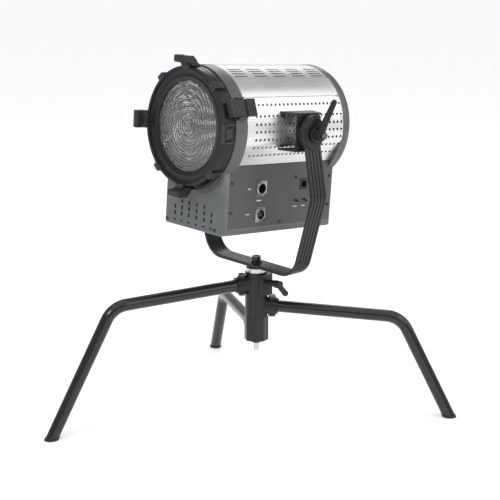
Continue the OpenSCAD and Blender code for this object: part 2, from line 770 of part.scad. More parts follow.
module cooling_fan() color(black) in_head() translate([0, 34.2, 14]) {
    difference() {
        block([-40, 0, -40], [40, 15, 40]);
        translate([0, -1, 0]) rotate([-90, 0, 0]) cylinder(r = 38, h = 20);
    }
    translate([0, 2, 0]) rotate([-90, 0, 0]) cylinder(r = 15, h = 11);
    for (i = [0 : 6]) rotate([0, i * 360 / 7, 0])
        translate([14, 4, -1]) cube([22, 7, 1.6]);
    for (i = [0 : 3]) rotate([0, 45 + i * 90, 0])
        translate([14, 12, -1.5]) cube([26, 3, 3]);
}

module lead_screw() color(zinc) in_head() axial(screw_r, knob_ahead - 12, 129, 0, rail_z);

knob_r = 16;
knob_h = 16;

// Knob on its shaft behind the rear panel, with a ring of finger flutes.
module knob(r, h, flutes, x, z, bore) in_head() translate([x, -knob_ahead + 1, z])
    rotate([-90, 0, 0]) difference() {
        union() {
            cylinder(r = r, h = h - 1.5);
            cylinder(r = r - 1.5, h = h);
        }
        for (i = [0 : flutes - 1]) rotate([0, 0, i * 360 / flutes])
            translate([r + 0.8, 0, 3]) cylinder(r = 2, h = h);
        translate([0, 0, -1]) cylinder(r = bore, h = 12.2);
    }

module focus_knob() color(black) knob(knob_r, knob_h, 12, 0, rail_z, screw_r + 0.02);

// ---- Electrics ----

dimmer = [44, 34];        // [x, z] on the rear panel
window = [[-62, 18], [-2, 52]];

module dimmer_knob() color(black) {
    knob(11, 13, 10, dimmer.x, dimmer.y, 3.02);
    in_head() axial(3, knob_ahead - 12, knob_ahead + 10, dimmer.x, dimmer.y);
}

module display() color([0.05, 0.06, 0.08]) in_head() {
    block([window[0].x + 0.2, -knob_ahead - 12, window[0].y + 0.2],
          [window[1].x - 0.2, -knob_ahead + 0.6, window[1].y - 0.2]);
    difference() {
        block([window[0].x - 3, -knob_ahead + 0.6, window[0].y - 3],
              [window[1].x + 3, -knob_ahead + 1.8, window[1].y + 3]);
        block([window[0].x + 4, 100, window[0].y + 4], [window[1].x - 4, 200, window[1].y - 4]);
    }
}

module power_supply() color(silver) in_head() {
    block([-72, -110, -box_z + wall], [52, 60, -142]);
    for (x = [-60 : 24 : 36]) block([x, 60, -180], [x + 16, 64, -160]);
}

module control_board() color([0.1, 0.35, 0.2]) in_head() {
    block([-60, -100, -124], [58, 40, -122.4]);
    block([-40, -80, -122.4], [-20, -60, -112]);
    block([10, -70, -122.4], [34, -46, -117]);
    block([-30, -20, -122.4], [10, 10, -119]);
    for (x = [-50, 46], y = [-92, 30]) translate([x, y, -142]) cylinder(r = 3, h = 18);
}

module power_inlet() color(black) in_head() difference() {
    union() {
        block([inlet.x - 13.8, 116, inlet.y - 11.8], [inlet.x + 13.8, box_rear, inlet.y + 11.8]);
        block([inlet.x - 25, box_rear, inlet.y - 14], [inlet.x + 25, box_rear + 2, inlet.y + 14]);
    }
    block([inlet.x - 12, 124, inlet.y - 8.5], [inlet.x + 12, 200, inlet.y + 8.5]);
}

// Rocker: a shallow wedge that tips about a pin along X.
module power_switch() color([0.6, 0.1, 0.1]) in_head()
    translate([rocker.x - 6.6, box_rear, rocker.y]) rotate([90, 0, 90]) linear_extrude(13.2)
        polygon([[-7, -7], [-1, -8.8], [1.5, -8.8], [1.2, 0], [4.5, 8.8], [-1, 8.8], [-7, 7]]);

// ---- Drawing ----

top_casting();
top_leg();
top_foot();
top_leg_bolt();
swivel_post();
tie_rod();
tie_nut();
middle_casting();
middle_leg();
middle_foot();
middle_leg_bolt();
lower_casting();
lower_leg();
lower_foot();
lower_leg_bolt();
spigot_lever();
spigot();
yoke();
yoke_bosses();
yoke_bolt();
yoke_washer();
tilt_lever();
lever_screw();
side_brackets();
pivot_bolts();
friction_discs();
pivot_cap();
barrel_shell();
top_vent_panel();
front_collar();
front_bezel();
accessory_ears();
latch_bracket();
accessory_latch();
fresnel_lens();
rear_ring();
rear_panel();
lower_housing();
rear_wall();
right_panel();
left_panel();
panel_screws();
xlr_in();
xlr_out();
data_port();
toggle_front();
toggle_rear();
focus_rails();
carriage();
led_module();
heat_sink();
cooling_fan();
lead_screw();
focus_knob();
power_supply();
control_board();
display();
dimmer_knob();
power_switch();
power_inlet();
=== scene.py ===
"""Looks of a studio fresnel spotlight on a low three-leg base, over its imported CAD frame."""

import json
import math

import bmesh
import bpy
from mathutils import Matrix, Vector


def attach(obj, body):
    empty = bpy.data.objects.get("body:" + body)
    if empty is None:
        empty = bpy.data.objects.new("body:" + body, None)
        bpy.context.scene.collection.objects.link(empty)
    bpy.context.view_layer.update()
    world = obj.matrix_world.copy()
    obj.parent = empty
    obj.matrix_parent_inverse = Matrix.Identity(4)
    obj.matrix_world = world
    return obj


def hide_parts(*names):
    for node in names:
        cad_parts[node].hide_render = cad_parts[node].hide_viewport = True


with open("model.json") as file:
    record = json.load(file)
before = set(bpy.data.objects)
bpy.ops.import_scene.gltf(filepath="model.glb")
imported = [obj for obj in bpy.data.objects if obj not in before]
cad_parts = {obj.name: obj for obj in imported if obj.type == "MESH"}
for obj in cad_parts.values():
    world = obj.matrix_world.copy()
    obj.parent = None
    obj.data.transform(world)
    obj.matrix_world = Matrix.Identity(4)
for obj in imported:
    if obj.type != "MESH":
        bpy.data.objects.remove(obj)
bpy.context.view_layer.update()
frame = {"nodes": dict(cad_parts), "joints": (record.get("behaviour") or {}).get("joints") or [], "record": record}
joints = {j["name"]: j for j in frame["joints"]}

MM = 0.001
SMOOTH_ANGLE = 32.0        # faces that meet at less than this are shaded smooth

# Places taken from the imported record: the hub, the tilt axis and the lamp's tilt at rest.
hub_x, hub_y, _ = joints["pan"]["pos_m"]
tilt_z = joints["tilt"]["pos_m"][2]
slide = joints["focus_slide"]["axis"]
tilt = math.atan2(slide[2], -slide[1])
ON_FLOOR = Matrix.Translation((hub_x, hub_y, 0.0))
IN_HEAD = Matrix.Translation((hub_x, hub_y, tilt_z)) @ Matrix.Rotation(-tilt, 4, "X")


def turned_about_lamp(degrees):
    """Head space turned about the lamp's axis, so that its +Z points at an angle above +X."""
    return IN_HEAD @ Matrix.Rotation(math.radians(90.0 - degrees), 4, "Y")


# ---------------------------------------------------------------- shapes


class Shape:
    """Collects closed surfaces in millimetres until they become one piece."""

    def __init__(self, place=IN_HEAD):
        self.place, self.verts, self.faces = place, [], []
        self.shaded_faces = set()

    def add(self, verts, faces, turn=None):
        start = len(self.verts)
        turn = turn or Matrix.Identity(4)
        self.verts += [turn @ Vector(v) for v in verts]
        self.faces += [[start + i for i in f] for f in faces]

    def loft(self, rings, turn=None, ends=True, loop=False):
        """Skin over rings of equal length; the rings are closed outlines."""
        n, count = len(rings[0]), len(rings)
        verts = [p for ring in rings for p in ring]
        faces = []
        for i in range(count if loop else count - 1):
            a, b = i * n, ((i + 1) % count) * n
            faces += [[a + k, a + (k + 1) % n, b + (k + 1) % n, b + k] for k in range(n)]
        if ends and not loop:
            faces += [list(range(n))[::-1], [(count - 1) * n + k for k in range(n)]]
        self.add(verts, faces, turn)

    def prism(self, outline, low, high, axis, turn=None):
        """Outline in the other two axes, in x y z order, pushed along `axis` from low to high."""
        put = {
            "x": lambda u, v, w: (w, u, v),
            "y": lambda u, v, w: (u, w, v),
            "z": lambda u, v, w: (u, v, w),
        }[axis]
        self.loft([[put(u, v, w) for u, v in outline] for w in (low, high)], turn)

    def block(self, low, high, turn=None):
        (x0, y0, z0), (x1, y1, z1) = low, high
        self.prism([(x0, y0), (x1, y0), (x1, y1), (x0, y1)], z0, z1, "z", turn)

    def lathe(self, profile, steps=160, turn=None):
        """Closed profile of (radius, distance ahead of the tilt axis) round the lamp's axis."""
        rings = []
        for i in range(steps):
            a = 2 * math.pi * i / steps
            rings.append([(r * math.cos(a), -d, r * math.sin(a)) for r, d in profile])
        self.loft(rings, turn, loop=True)

    def rod(self, stations, turn=None, steps=48):
        """Turned part along X: stations of (x, radius)."""
        circle = [2 * math.pi * k / steps for k in range(steps)]
        rings = [[(x, r * math.cos(a), r * math.sin(a)) for a in circle] for x, r in stations]
        self.loft(rings, turn)


ROUND_SIDES = 16          # two sides for each of the eight grid points round a hole


def windowed_sheet(shape, us, vs, opened, outer, inner, rounds=(), radius=0.0):
    """Sheet of cells between grid lines us and vs. Opened cells are cut out.

    Each (i, j) in rounds is the first of a 2 by 2 block of cells that gets a round hole.
    The inside of the sheet and the walls of its openings take the second material: painted shade in the openings,
    and the black inside paint.
    """
    first_face = len(shape.faces)
    shaded_faces = []
    rows, cols = len(vs), len(us)
    index = {}
    verts, faces = [], []

    def corner(i, j, side):
        key = (i, j, side)
        if key not in index:
            index[key] = len(verts)
            verts.append((outer if side else inner)(us[i], vs[j]))
        return index[key]

    in_round = {(i + a, j + b) for i, j in rounds for a in (0, 1) for b in (0, 1)}
    solid = {
        (i, j) for i in range(cols - 1) for j in range(rows - 1) if not opened(i, j)
    }
    edges = (((0, 0), (1, 0), (0, -1)), ((1, 0), (1, 1), (1, 0)),
             ((1, 1), (0, 1), (0, 1)), ((0, 1), (0, 0), (-1, 0)))
    for i, j in sorted(solid):
        if (i, j) not in in_round:
            ring = [(i, j), (i + 1, j), (i + 1, j + 1), (i, j + 1)]
            faces.append([corner(a, b, 1) for a, b in ring])
            shaded_faces.append(len(faces))
            faces.append([corner(a, b, 0) for a, b in ring[::-1]])
        for a, b, beyond in edges:
            if (i + beyond[0], j + beyond[1]) not in solid:
                p, q = (i + a[0], j + a[1]), (i + b[0], j + b[1])
                shaded_faces.append(len(faces))
                faces.append([corner(*q, 1), corner(*p, 1), corner(*p, 0), corner(*q, 0)])
    around = [(2, 1), (2, 2), (1, 2), (0, 2), (0, 1), (0, 0), (1, 0), (2, 0)]
    for i, j in rounds:
        u0, v0 = us[i + 1], vs[j + 1]
        circle = []
        for side in (1, 0):
            first = len(verts)
            for k in range(ROUND_SIDES):
                a = 2 * math.pi * k / ROUND_SIDES
                point = (u0 + radius * math.cos(a), v0 + radius * math.sin(a))
                verts.append((outer if side else inner)(*point))
            circle.append(first)
        for k in range(8):
            p, q = around[k], around[(k + 1) % 8]
            for side, first in ((1, circle[0]), (0, circle[1])):
                face = [corner(i + p[0], j + p[1], side), corner(i + q[0], j + q[1], side)]
                face += [first + (2 * k + m) % ROUND_SIDES for m in (2, 1, 0)]
                if not side:
                    shaded_faces.append(len(faces))
                faces.append(face if side else face[::-1])
        for k in range(ROUND_SIDES):
            m = (k + 1) % ROUND_SIDES
            shaded_faces.append(len(faces))
            faces.append([circle[0] + k, circle[0] + m, circle[1] + m, circle[1] + k])
    shape.shaded_faces |= {first_face + f for f in shaded_faces}
    shape.add(verts, faces)


def mirrored(shape):
    """Adds the other side of the lamp."""
    twin = Matrix.Scale(-1, 4, (1, 0, 0))
    shape.shaded_faces |= {len(shape.faces) + f for f in shape.shaded_faces}
    shape.add([v.copy() for v in shape.verts], [f[::-1] for f in shape.faces], twin)


def soften(obj, width, angle=35.0):
    """Small rounded edges."""
    bevel = obj.modifiers.new("edges", "BEVEL")
    bevel.width, bevel.segments = width * MM, 2
    bevel.limit_method, bevel.angle_limit = "ANGLE", math.radians(angle)
    bevel.use_clamp_overlap = True
    bevel.harden_normals = False


def as_piece(name, shape, body, material, replaces=(), edge=0.0, smooth=SMOOTH_ANGLE,
             shade_finish=None):
    """Turns a shape into a piece that rides on a CAD body."""
    mesh = bpy.data.meshes.new(name)
    verts = [shape.place @ (Vector(v) * MM) for v in shape.verts]
    mesh.from_pydata(verts, [], shape.faces)
    # Faces inside the sheet and in its openings take the second material: black painted shade in the openings, and
    # black inside paint.
    for face in shape.shaded_faces:
        mesh.polygons[face].material_index = 1
    bm = bmesh.new()
    bm.from_mesh(mesh)
    bmesh.ops.remove_doubles(bm, verts=bm.verts, dist=2e-6)
    bmesh.ops.dissolve_degenerate(bm, edges=bm.edges, dist=1e-6)
    bmesh.ops.recalc_face_normals(bm, faces=bm.faces)
    bm.to_mesh(mesh)
    bm.free()
    finish_piece(name, mesh, body, (material, shade_finish), replaces, edge, smooth)


def finish_piece(name, mesh, body, materials, replaces, edge, smooth):
    """Makes the object, with its materials, smoothing, edges, body and replaced nodes."""
    mesh.materials.clear()
    for material in filter(None, materials):
        mesh.materials.append(material)
    mesh.shade_smooth()
    mesh.set_sharp_from_angle(angle=math.radians(smooth))
    obj = bpy.data.objects.new(name, mesh)
    bpy.context.scene.collection.objects.link(obj)
    if edge:
        soften(obj, edge)
    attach(obj, body)
    if replaces:
        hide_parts(*replaces)
    return obj


def eased_copy(node, edge):
    """A CAD node again, as a clean mesh with rounded edges."""
    name, slot = node + "_eased", slot_of[node]
    mesh = frame["nodes"][node].data.copy()
    mesh.name = name
    bm = bmesh.new()
    bm.from_mesh(mesh)
    bmesh.ops.remove_doubles(bm, verts=bm.verts, dist=1e-5)
    bmesh.ops.dissolve_limit(
        bm, angle_limit=math.radians(1.0), verts=bm.verts, edges=bm.edges
    )
    bmesh.ops.recalc_face_normals(bm, faces=bm.faces)
    bm.to_mesh(mesh)
    bm.free()
    obj = finish_piece(name, mesh, body_of[node], (mats[slot],), (node,), 0.0, SMOOTH_ANGLE)
    soften(obj, edge, 40.0)


# ---------------------------------------------------------------- materials


TONE_LOW, TONE_HIGH = 0.33, 0.7              # part of a noise's range that is spread out
WEAR_FROM, WEAR_FULL, WEAR_MOST = 0.53, 0.62, 0.6
BROAD_SCALE, BROAD_DETAIL, FINE_DETAIL = 9.0, 3.0, 4.0
COAT_ROUGH, ROUGH_LOW, ROUGH_HIGH = 0.12, 0.85, 1.15


def coated(name, colour, rough, metallic=0.0, grain=(600.0, 0.12, 0.35), blotch=0.1,
           stretch=(1.0, 1.0, 1.0), wear=None, coat=0.0, gloss=0.5):
    """A surface with broad tone changes, a fine grain in its relief, and worn edges.

    grain is (scale per metre, bump strength, bump depth in mm); stretch pulls the grain into lines.
    """
    mat = bpy.data.materials.new(name)
    mat.use_nodes = True
    nodes, links = mat.node_tree.nodes, mat.node_tree.links
    shader = nodes["Principled BSDF"]
    shader.inputs["Metallic"].default_value = metallic
    shader.inputs["Coat Weight"].default_value = coat
    shader.inputs["Specular IOR Level"].default_value = gloss
    shader.inputs["Coat Roughness"].default_value = COAT_ROUGH
    place = nodes.new("ShaderNodeTexCoord").outputs["Object"]
    mapping = nodes.new("ShaderNodeMapping")
    mapping.inputs["Scale"].default_value = stretch
    links.new(place, mapping.inputs["Vector"])

    def noise(scale, detail, vector):
        node = nodes.new("ShaderNodeTexNoise")
        node.inputs["Scale"].default_value = scale
        node.inputs["Detail"].default_value = detail
        links.new(vector, node.inputs["Vector"])
        return node.outputs["Fac"]

    def spread(value, low, high):
        node = nodes.new("ShaderNodeMapRange")
        node.inputs["From Min"].default_value = TONE_LOW
        node.inputs["From Max"].default_value = TONE_HIGH
        node.inputs["To Min"].default_value = low
        node.inputs["To Max"].default_value = high
        links.new(value, node.inputs["Value"])
        return node.outputs["Result"]

    fine = noise(grain[0], FINE_DETAIL, mapping.outputs["Vector"])
    broad = noise(BROAD_SCALE, BROAD_DETAIL, place)

    def toned(by):
        return [min(1.0, c * by) for c in colour] + [1.0]

    tone = nodes.new("ShaderNodeMix")
    tone.data_type = "RGBA"
    tone.inputs["A"].default_value = toned(1.0 - blotch)
    tone.inputs["B"].default_value = toned(1.0 + blotch)
    blend = nodes.new("ShaderNodeMath")
    blend.operation = "MULTIPLY_ADD"
    blend.inputs[1].default_value = 0.5
    links.new(spread(broad, 0.0, 1.0), blend.inputs[0])
    half = nodes.new("ShaderNodeMath")
    half.operation = "MULTIPLY"
    half.inputs[1].default_value = 0.5
    links.new(spread(fine, 0.0, 1.0), half.inputs[0])
    links.new(half.outputs[0], blend.inputs[2])
    links.new(blend.outputs[0], tone.inputs["Factor"])
    colour_out = tone.outputs["Result"]
    if wear:
        edge = nodes.new("ShaderNodeNewGeometry").outputs["Pointiness"]
        step = nodes.new("ShaderNodeMapRange")
        step.inputs["From Min"].default_value = WEAR_FROM
        step.inputs["From Max"].default_value = WEAR_FULL
        step.inputs["To Max"].default_value = WEAR_MOST
        links.new(edge, step.inputs["Value"])
        worn = nodes.new("ShaderNodeMix")
        worn.data_type = "RGBA"
        worn.inputs["B"].default_value = [*wear, 1.0]
        links.new(colour_out, worn.inputs["A"])
        links.new(step.outputs["Result"], worn.inputs["Factor"])
        colour_out = worn.outputs["Result"]
    links.new(colour_out, shader.inputs["Base Color"])
    links.new(spread(broad, ROUGH_LOW * rough, ROUGH_HIGH * rough), shader.inputs["Roughness"])
    bump = nodes.new("ShaderNodeBump")
    bump.inputs["Strength"].default_value = grain[1]
    bump.inputs["Distance"].default_value = grain[2] * MM
    links.new(fine, bump.inputs["Height"])
    links.new(bump.outputs["Normal"], shader.inputs["Normal"])
    return mat


def pressed_glass(name):
    """Clear pressed glass with a faint frosting, as lamps use to even out the beam."""
    mat = coated(name, (0.86, 0.88, 0.88), 0.05, grain=(160.0, 0.05, 0.1), blotch=0.03)
    shader = mat.node_tree.nodes["Principled BSDF"]
    shader.inputs["Transmission Weight"].default_value = 0.93
    shader.inputs["IOR"].default_value = 1.48
    return mat


mats = {
    "leg_black": coated("gloss_black_coat", (0.011, 0.011, 0.013), 0.2,
                        grain=(900.0, 0.06, 0.15), coat=0.5, gloss=0.3),
    "casting_black": coated("cast_black_paint", (0.014, 0.015, 0.017), 0.36,
                            grain=(700.0, 0.3, 0.3), wear=(0.07, 0.07, 0.07), gloss=0.3),
    "rubber_black": coated("black_rubber", (0.022, 0.022, 0.024), 0.78,
                           grain=(1100.0, 0.35, 0.25)),
    "zinc_steel": coated("bright_zinc", (0.62, 0.62, 0.64), 0.28, metallic=1.0,
                         grain=(500.0, 0.12, 0.1), blotch=0.08),
    "yoke_grey": coated("yoke_satin_paint", (0.012, 0.013, 0.0155), 0.36,
                        grain=(900.0, 0.25, 0.2), wear=(0.07, 0.07, 0.075), gloss=0.3),
    "silver_skin": coated("brushed_silver", (0.74, 0.74, 0.745), 0.3, metallic=0.85,
                          grain=(420.0, 0.1, 0.12), blotch=0.05, stretch=(1.0, 0.04, 1.0)),
    "top_skin": coated("satin_silver", (0.5, 0.51, 0.5), 0.42, metallic=0.55,
                       grain=(420.0, 0.1, 0.12), blotch=0.05, stretch=(1.0, 0.04, 1.0)),
    "housing_grey": coated("hammered_grey", (0.108, 0.119, 0.119), 0.46,
                           grain=(480.0, 0.35, 0.3), blotch=0.07, wear=(0.2, 0.21, 0.21)),
    "panel_grey": coated("fine_grey_paint", (0.074, 0.076, 0.075), 0.46,
                         grain=(900.0, 0.3, 0.2), blotch=0.06),
    "bolt_black": coated("black_oxide", (0.03, 0.03, 0.032), 0.34, metallic=0.6,
                         grain=(700.0, 0.15, 0.15), wear=(0.2, 0.2, 0.2)),
    "ring_grey": coated("ring_satin_grey", (0.052, 0.057, 0.057), 0.42,
                        grain=(700.0, 0.2, 0.2), blotch=0.06, wear=(0.14, 0.145, 0.145)),
    "bezel_black": coated("satin_black_casting", (0.011, 0.0125, 0.0145), 0.3,
                          grain=(800.0, 0.25, 0.2), wear=(0.1, 0.105, 0.11), gloss=0.3),
    "lens_glass": pressed_glass("pressed_glass"),
    "panel_black": coated("moulded_black", (0.013, 0.013, 0.014), 0.5,
                          grain=(900.0, 0.25, 0.2)),
    "socket_nickel": coated("nickel", (0.56, 0.54, 0.51), 0.26, metallic=1.0,
                            grain=(700.0, 0.1, 0.1)),
    "heat_alloy": coated("mill_alloy", (0.5, 0.5, 0.52), 0.38, metallic=1.0,
                         grain=(600.0, 0.15, 0.15), stretch=(1.0, 0.1, 1.0)),
    "led_yellow": coated("phosphor", (0.8, 0.66, 0.24), 0.5, grain=(900.0, 0.3, 0.2)),
    "board_green": coated("solder_mask", (0.02, 0.14, 0.05), 0.35, grain=(300.0, 0.2, 0.2)),
    "display_glass": coated("dark_window", (0.012, 0.016, 0.02), 0.12,
                            grain=(200.0, 0.03, 0.05), coat=0.6),
    "rocker_red": coated("red_rocker", (0.4, 0.02, 0.015), 0.3, grain=(600.0, 0.1, 0.1)),
}
# Black for inner faces and opening walls: painted shade that darkens the holes, slots and vents, and also the
# lamp's black inside paint.
shade_and_inner_black = coated("shade_and_inner_black", (0.012, 0.012, 0.013), 0.8, grain=(900.0, 0.2, 0.2))
mark_white = coated("printed_white", (0.62, 0.62, 0.6), 0.6, grain=(900.0, 0.1, 0.1))

slot_of = {s["node"]: s["material_slot"] for s in frame["record"]["subparts"]}
body_of = {n: b for b, ns in frame["record"]["behaviour"]["bodies"].items() for n in ns}
for node, obj in frame["nodes"].items():
    obj.data.materials.clear()
    obj.data.materials.append(mats[slot_of[node]])
    obj.data.shade_smooth()
    obj.data.set_sharp_from_angle(angle=math.radians(SMOOTH_ANGLE))


def piece(name, shape, node, edge=0.0, smooth=SMOOTH_ANGLE, shade_finish=None):
    """A piece that replaces a CAD node and takes its body, slot and finish."""
    slot = slot_of[node]
    as_piece(name, shape, body_of[node], mats[slot], (node,), edge, smooth, shade_finish)


# ---------------------------------------------------------------- lamp sizes, mm

BARREL_R = 118.5
BARREL_FRONT, BARREL_REAR = 130.5, -124.5  # ahead of the tilt axis
SKIN = 2.5
SKIN_TOP, CREASE = 55.5, -12.0             # degrees above level
SKIRT = (87.5, -66.5)                      # where the skin meets the housing
BEZEL_BACK, BEZEL_FRONT = 160.0, 190.0
LENS_R, LENS_STEPS, LENS_THICK = 87.0, 14, 6.0
LENS_FRONT = BEZEL_FRONT - 9.8


# ---------------------------------------------------------------- silver skin


def steps_between(low, high, longest):
    count = max(1, math.ceil((high - low) / longest))
    return [low + (high - low) * i / count for i in range(count)]


def grid_lines(stops, longest):
    """Sorted stops with extra lines, so that no gap is longer than allowed."""
    stops = sorted(set(round(s, 4) for s in stops))
    lines = []
    for low, high in zip(stops, stops[1:]):
        lines += steps_between(low, high, longest)
    return lines + [stops[-1]]


arc_len = BARREL_R * math.radians(SKIN_TOP - CREASE)
crease = Vector((math.cos(math.radians(CREASE)), math.sin(math.radians(CREASE)))) * BARREL_R
fall = Vector(SKIRT) - crease
flat_len = fall.length
fall.normalize()
flat_out = Vector((-fall.y, fall.x))


def down_skin(angle):
    """Distance down the skin from its top edge to an angle above level."""
    if angle >= CREASE:
        return BARREL_R * math.radians(SKIN_TOP - angle)
    ray = Vector((math.cos(math.radians(angle)), math.sin(math.radians(angle))))
    along = (crease.x * ray.y - crease.y * ray.x) / (fall.y * ray.x - fall.x * ray.y)
    return arc_len + along


grooves = {}
for groove_angle, half_width, depth in ((33.0, 1.6, 2.0), (12.3, 0.8, 1.2), (9.9, 0.7, 1.2),
                                        (CREASE + 0.7, 0.5, 0.4)):
    at = down_skin(groove_angle)
    for off, deep in ((-half_width, 0.0), (-half_width * 0.6, depth),
                      (half_width * 0.6, depth), (half_width, 0.0)):
        grooves[round(at + off, 4)] = deep


def skin_point(y, s, depth):
    if s <= arc_len:
        a = math.radians(SKIN_TOP) - s / BARREL_R
        r = BARREL_R - depth
        return (r * math.cos(a), y, r * math.sin(a))
    p = crease + fall * (s - arc_len) - flat_out * depth
    return (p.x, y, p.y)


HOLE_R, HOLE_PITCH, HOLE_COUNT, FIRST_HOLE = 2.8, 10.9, 22, -107.0
hole_rows = [down_skin(a) for a in (25.6, 14.9, 7.4, 0.4, -7.0, -14.9, -24.8)]
hole_edges = [FIRST_HOLE + HOLE_PITCH * (k - 0.5) for k in range(HOLE_COUNT + 1)]
hole_mids = [FIRST_HOLE + HOLE_PITCH * k for k in range(HOLE_COUNT)]
us = grid_lines([-BARREL_FRONT, -BARREL_REAR, *hole_edges, *hole_mids], 20.0)
row_lines = [s + d for s in hole_rows for d in (-3.4, 0.0, 3.4)]
vs = [0.0, arc_len, arc_len + flat_len, *row_lines, *grooves]
vs = grid_lines(vs, 5.0)
rounds = []
for mid in hole_mids:
    i = min(range(len(us)), key=lambda k: abs(us[k] - mid)) - 1
    for s in hole_rows:
        rounds.append((i, min(range(len(vs)), key=lambda k: abs(vs[k] - s)) - 1))

skin = Shape()
windowed_sheet(
    skin, us, vs, lambda i, j: False,
    lambda y, s: skin_point(y, s, grooves.get(round(s, 4), 0.0)),
    lambda y, s: skin_point(y, s, SKIN), rounds, HOLE_R,
)
mirrored(skin)
piece("perforated_skin", skin, "barrel_shell", smooth=24.0, shade_finish=shade_and_inner_black)

# Top panel with its rows of cooling slots.
SLOT_LEN, SLOT_W, SLOT_PITCH, SLOT_GROUPS, FIRST_SLOT = 34.0, 3.4, 51.0, 5, -121.0
slot_angles = [59.0, 63.2, 67.4, 71.6]
slot_angles += [180.0 - a for a in slot_angles]
half_slot = math.degrees(SLOT_W / 2 / BARREL_R)
slot_ends = [FIRST_SLOT + SLOT_PITCH * k + d for k in range(SLOT_GROUPS) for d in (0, SLOT_LEN)]
panel_us = grid_lines([-BARREL_FRONT, -BARREL_REAR, *slot_ends], 25.0)
panel_vs = grid_lines([56.0, 124.0] + [a + d for a in slot_angles
                                       for d in (-half_slot, half_slot)], 3.0)


def in_slot(i, j):
    y = (panel_us[i] + panel_us[i + 1]) / 2
    a = (panel_vs[j] + panel_vs[j + 1]) / 2
    across = any(abs(a - s) < half_slot for s in slot_angles)
    return across and 0 < (y - FIRST_SLOT) % SLOT_PITCH < SLOT_LEN


def on_round(r, y, degrees):
    a = math.radians(degrees)
    return (r * math.cos(a), y, r * math.sin(a))


top = Shape()
windowed_sheet(
    top, panel_us, panel_vs, in_slot,
    lambda y, a: on_round(BARREL_R - 0.4, y, a), lambda y, a: on_round(BARREL_R - 3.0, y, a),
)
piece("slotted_top", top, "top_vent_panel", smooth=24.0, shade_finish=shade_and_inner_black)

# ---------------------------------------------------------------- housing

HOUSE_X, HOUSE_FRONT, HOUSE_BACK = 87.3, -156.0, 141.5
HOUSE_LOW, WALL, RING_CLEAR = -203.0, 2.5, 118.7
SIDE_OPEN = (-141.0, 136.0, -190.0)        # ends and foot of the side openings
BACK_OPEN = (78.0, -197.0)                 # half width and foot of the back opening
VENT_XS = (-53.6, -33.0, -11.3, 12.0, 35.0, 57.0)
VENT_W, VENT_H, VENT_PITCH = 5.0, 7.8, 12.4
VENT_ROWS = [-194.0 + VENT_PITCH * k for k in range(4)]
SHORT_COLUMNS, SHORT_ROWS = (0, 5), VENT_ROWS[:3]   # the outer columns lack the top row


def corner_points(cx, cy, r, start, count=5):
    return [
        (cx + r * math.cos(math.radians(start + 90.0 * k / count)),
         cy + r * math.sin(math.radians(start + 90.0 * k / count)))
        for k in range(count + 1)
    ]


def straight(p, q, stops, axis):
    """Points between p and q, with one at each stop along an axis."""
    found = [p]
    for s in stops:
        t = (s - p[axis]) / (q[axis] - p[axis])
        found.append((p[0] + (q[0] - p[0]) * t, p[1] + (q[1] - p[1]) * t))
    return found


FRONT_R, BACK_R = 8.0, 5.0                    # plan radii of the housing corners
vent_stops = sorted(x + d for x in VENT_XS for d in (-VENT_W / 2, VENT_W / 2))
front_right = corner_points(HOUSE_X - FRONT_R, HOUSE_FRONT + FRONT_R, FRONT_R, -90.0)
back_right = corner_points(HOUSE_X - BACK_R, HOUSE_BACK - BACK_R, BACK_R, 0.0)
back_left = corner_points(-HOUSE_X + BACK_R, HOUSE_BACK - BACK_R, BACK_R, 90.0)
front_left = corner_points(-HOUSE_X + FRONT_R, HOUSE_FRONT + FRONT_R, FRONT_R, 180.0)
TOP_STEP = 0.1                                # the top edge changes height within this
side_stops = [SIDE_OPEN[0], -BARREL_FRONT - TOP_STEP, -BARREL_FRONT + TOP_STEP, -60.0, 0.0, 60.0,
              -BARREL_REAR - TOP_STEP, -BARREL_REAR + TOP_STEP, SIDE_OPEN[1]]
back_stops = [BACK_OPEN[0], 40.0, 0.0, -40.0, -BACK_OPEN[0]]
outline = [
    *front_right[:-1], *straight(front_right[-1], back_right[0], side_stops, 1),
    *back_right[:-1], *straight(back_right[-1], back_left[0], back_stops, 0),
    *back_left[:-1], *straight(back_left[-1], front_left[0], side_stops[::-1], 1),
    *front_left[:-1], *straight(front_left[-1], front_right[0], vent_stops, 0),
]


def inset_point(x, y, by):
    """A plan point moved inwards, keeping the corners round."""
    cx = max(-HOUSE_X + FRONT_R, min(HOUSE_X - FRONT_R, x))
    cy = max(HOUSE_FRONT + FRONT_R, min(HOUSE_BACK - FRONT_R, y))
    d = Vector((x - cx, y - cy))
    return (x, y) if d.length == 0 else (x - d.x / d.length * by, y - d.y / d.length * by)


def house_top(x, y):
    """Top edge of the housing: level under the skin, hollowed round the lamp's ends."""
    if -BARREL_FRONT < y < -BARREL_REAR:
        return SKIRT[1] - 0.3
    return -math.sqrt(RING_CLEAR**2 - x * x)


def vent_column(x):
    return min(range(len(VENT_XS)), key=lambda k: abs(VENT_XS[k] - x))


vent_lines = [z + d for z in VENT_ROWS for d in (0.0, VENT_H)]
levels = sorted({HOUSE_LOW, HOUSE_LOW + 1.0, HOUSE_LOW + 3.0, SIDE_OPEN[2], BACK_OPEN[1],
                 -130.0, -120.0, *vent_lines})
ROUNDING = {HOUSE_LOW: 3.0, HOUSE_LOW + 1.0: 1.2, HOUSE_LOW + 3.0: 0.0}
top_level = len(levels)
count = len(outline)


def house_point(u, v, inward):
    x, y = outline[int(u) % count]
    if v == top_level:
        z = house_top(x, y)
    else:
        z = levels[int(v)]
    by = inward + ROUNDING.get(z, 0.0)
    px, py = inset_point(x, y, by)
    return (px, py, max(z, HOUSE_LOW + (WALL if inward else 0.0)))


